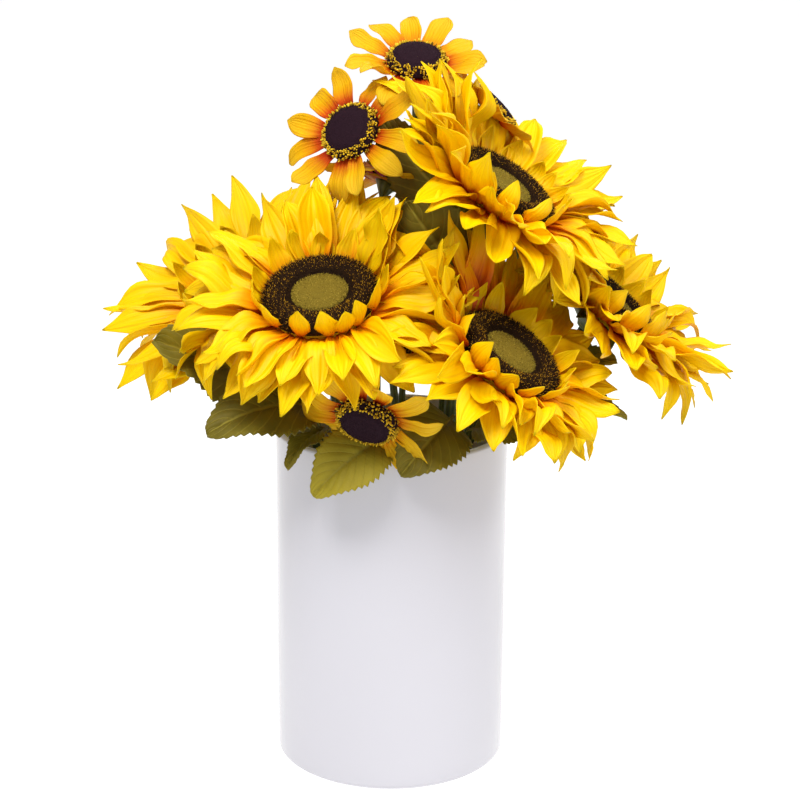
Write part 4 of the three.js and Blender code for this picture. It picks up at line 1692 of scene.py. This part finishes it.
@dataclass
class Studio:
    """The floor, the lights and the camera."""

    camera_place: tuple[float, float, float] = (0.0051, -1.25, 0.597)
    camera_pitch: float = math.radians(15.99)
    camera_roll: float = 0.007
    lens: float = 90.93
    floor_size: float = 30.0
    floor_gap: float = 0.1 * MM
    aim_above_middle: float = 80 * MM
    sky: float = 0.40
    lights: tuple[SoftLight, ...] = (
        SoftLight("key light", (-0.50, -0.95, 1.92), 0.8, 37.0),
        SoftLight("fill light", (1.15, -0.60, 1.72), 1.1, 22.0),
        SoftLight("back light", (0.3, 1.1, 1.6), 1.0, 7.0),
    )

    def build(self, wardrobe: Wardrobe) -> None:
        """Set up the whole studio.

        Args:
            wardrobe: Where the floor's finish comes from.
        """
        self.floor(wardrobe)
        self.world()
        aim = (Vector(CAD_BOX[0]) + Vector(CAD_BOX[1])) / 2 + Vector((0, 0, self.aim_above_middle))
        for light in self.lights:
            light.hang(aim)
        self.camera()

    def floor(self, wardrobe: Wardrobe) -> None:
        """Lay the floor under the vase.

        Args:
            wardrobe: Where its finish comes from.
        """
        half = self.floor_size / 2
        mesh = bpy.data.meshes.new("floor")
        corners = [(-half, -half, 0), (half, -half, 0), (half, half, 0), (-half, half, 0)]
        mesh.from_pydata(corners, [], [(0, 1, 2, 3)])
        mesh.materials.append(wardrobe.get(FloorPaint()))
        floor = bpy.data.objects.new("floor", mesh)
        floor.location.z = CAD_BOX[0].z - self.floor_gap
        bpy.context.collection.objects.link(floor)

    def world(self) -> None:
        """Fill the room with even white light."""
        world = bpy.data.worlds.new("white room")
        world.use_nodes = True
        sky = next(n for n in world.node_tree.nodes if n.type == "BACKGROUND")
        sky.inputs["Color"].default_value = (1, 1, 1, 1)
        sky.inputs["Strength"].default_value = self.sky
        bpy.context.scene.world = world
        bpy.context.scene.view_settings.view_transform = "Standard"

    def camera(self) -> None:
        """Set the camera in front of the bunch, a little above it."""
        data = bpy.data.cameras.new("camera")
        data.lens = self.lens
        data.clip_end = 50
        camera = bpy.data.objects.new("camera", data)
        camera.location = self.camera_place
        tilt = Euler((math.pi / 2 - self.camera_pitch, 0, 0)).to_matrix()
        camera.rotation_euler = (tilt @ Euler((0, 0, self.camera_roll)).to_matrix()).to_euler()
        bpy.context.collection.objects.link(camera)
        bpy.context.scene.camera = camera


# ---------------------------------------------------------------------------
# The whole bunch
# ---------------------------------------------------------------------------
@dataclass
class Bunch:
    """Every stem, head and leaf in the vase; the seed starts the small differences, alike in each run."""

    seed: int = 7
    kinds: dict[str, HeadKind] = field(init=False)
    leaves: list[str] = field(init=False)

    def __post_init__(self) -> None:
        """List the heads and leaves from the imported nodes."""
        nodes = sorted(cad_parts)
        large = [n[len("calyx_") :] for n in nodes if n.startswith("calyx_")]
        every = [n[len("disc_") :] for n in nodes if n.startswith("disc_")]
        self.kinds = {name: HeadKind.LARGE if name in large else HeadKind.SMALL for name in every}
        self.leaves = [n for n in nodes if n.startswith("leaf_")]

    def build(self, wardrobe: Wardrobe) -> None:
        """Make and dress the bunch, piece by piece.

        Args:
            wardrobe: Where the finishes come from.
        """
        for offset, (name, kind) in enumerate(self.kinds.items()):
            rng = np.random.default_rng(self.seed + 31 * offset)
            Head(name, kind).build(wardrobe, rng)
            Stem(name).build(wardrobe, rng)
        for offset, name in enumerate(self.leaves):
            rng = np.random.default_rng(self.seed + 1000 + offset)
            # The front leaf at the rim gets a lighter tone than the rest: painted light on the leaf that
            # lies open at the front.
            tone = 0.85 if name == "leaf_rim_front" else 0.35 + 0.3 * rng.random()
            Leaf(name, tone, fuller=FULLER_LEAVES.get(name, USUAL_FULLNESS)).build(wardrobe, rng)


def main() -> None:
    """Build the vase, the bunch and the studio."""
    logging.basicConfig(level=logging.INFO, format="%(message)s")
    wardrobe = Wardrobe()
    Vase().build(wardrobe)
    Bunch().build(wardrobe)
    Studio().build(wardrobe)


if __name__ == "__main__":
    main()
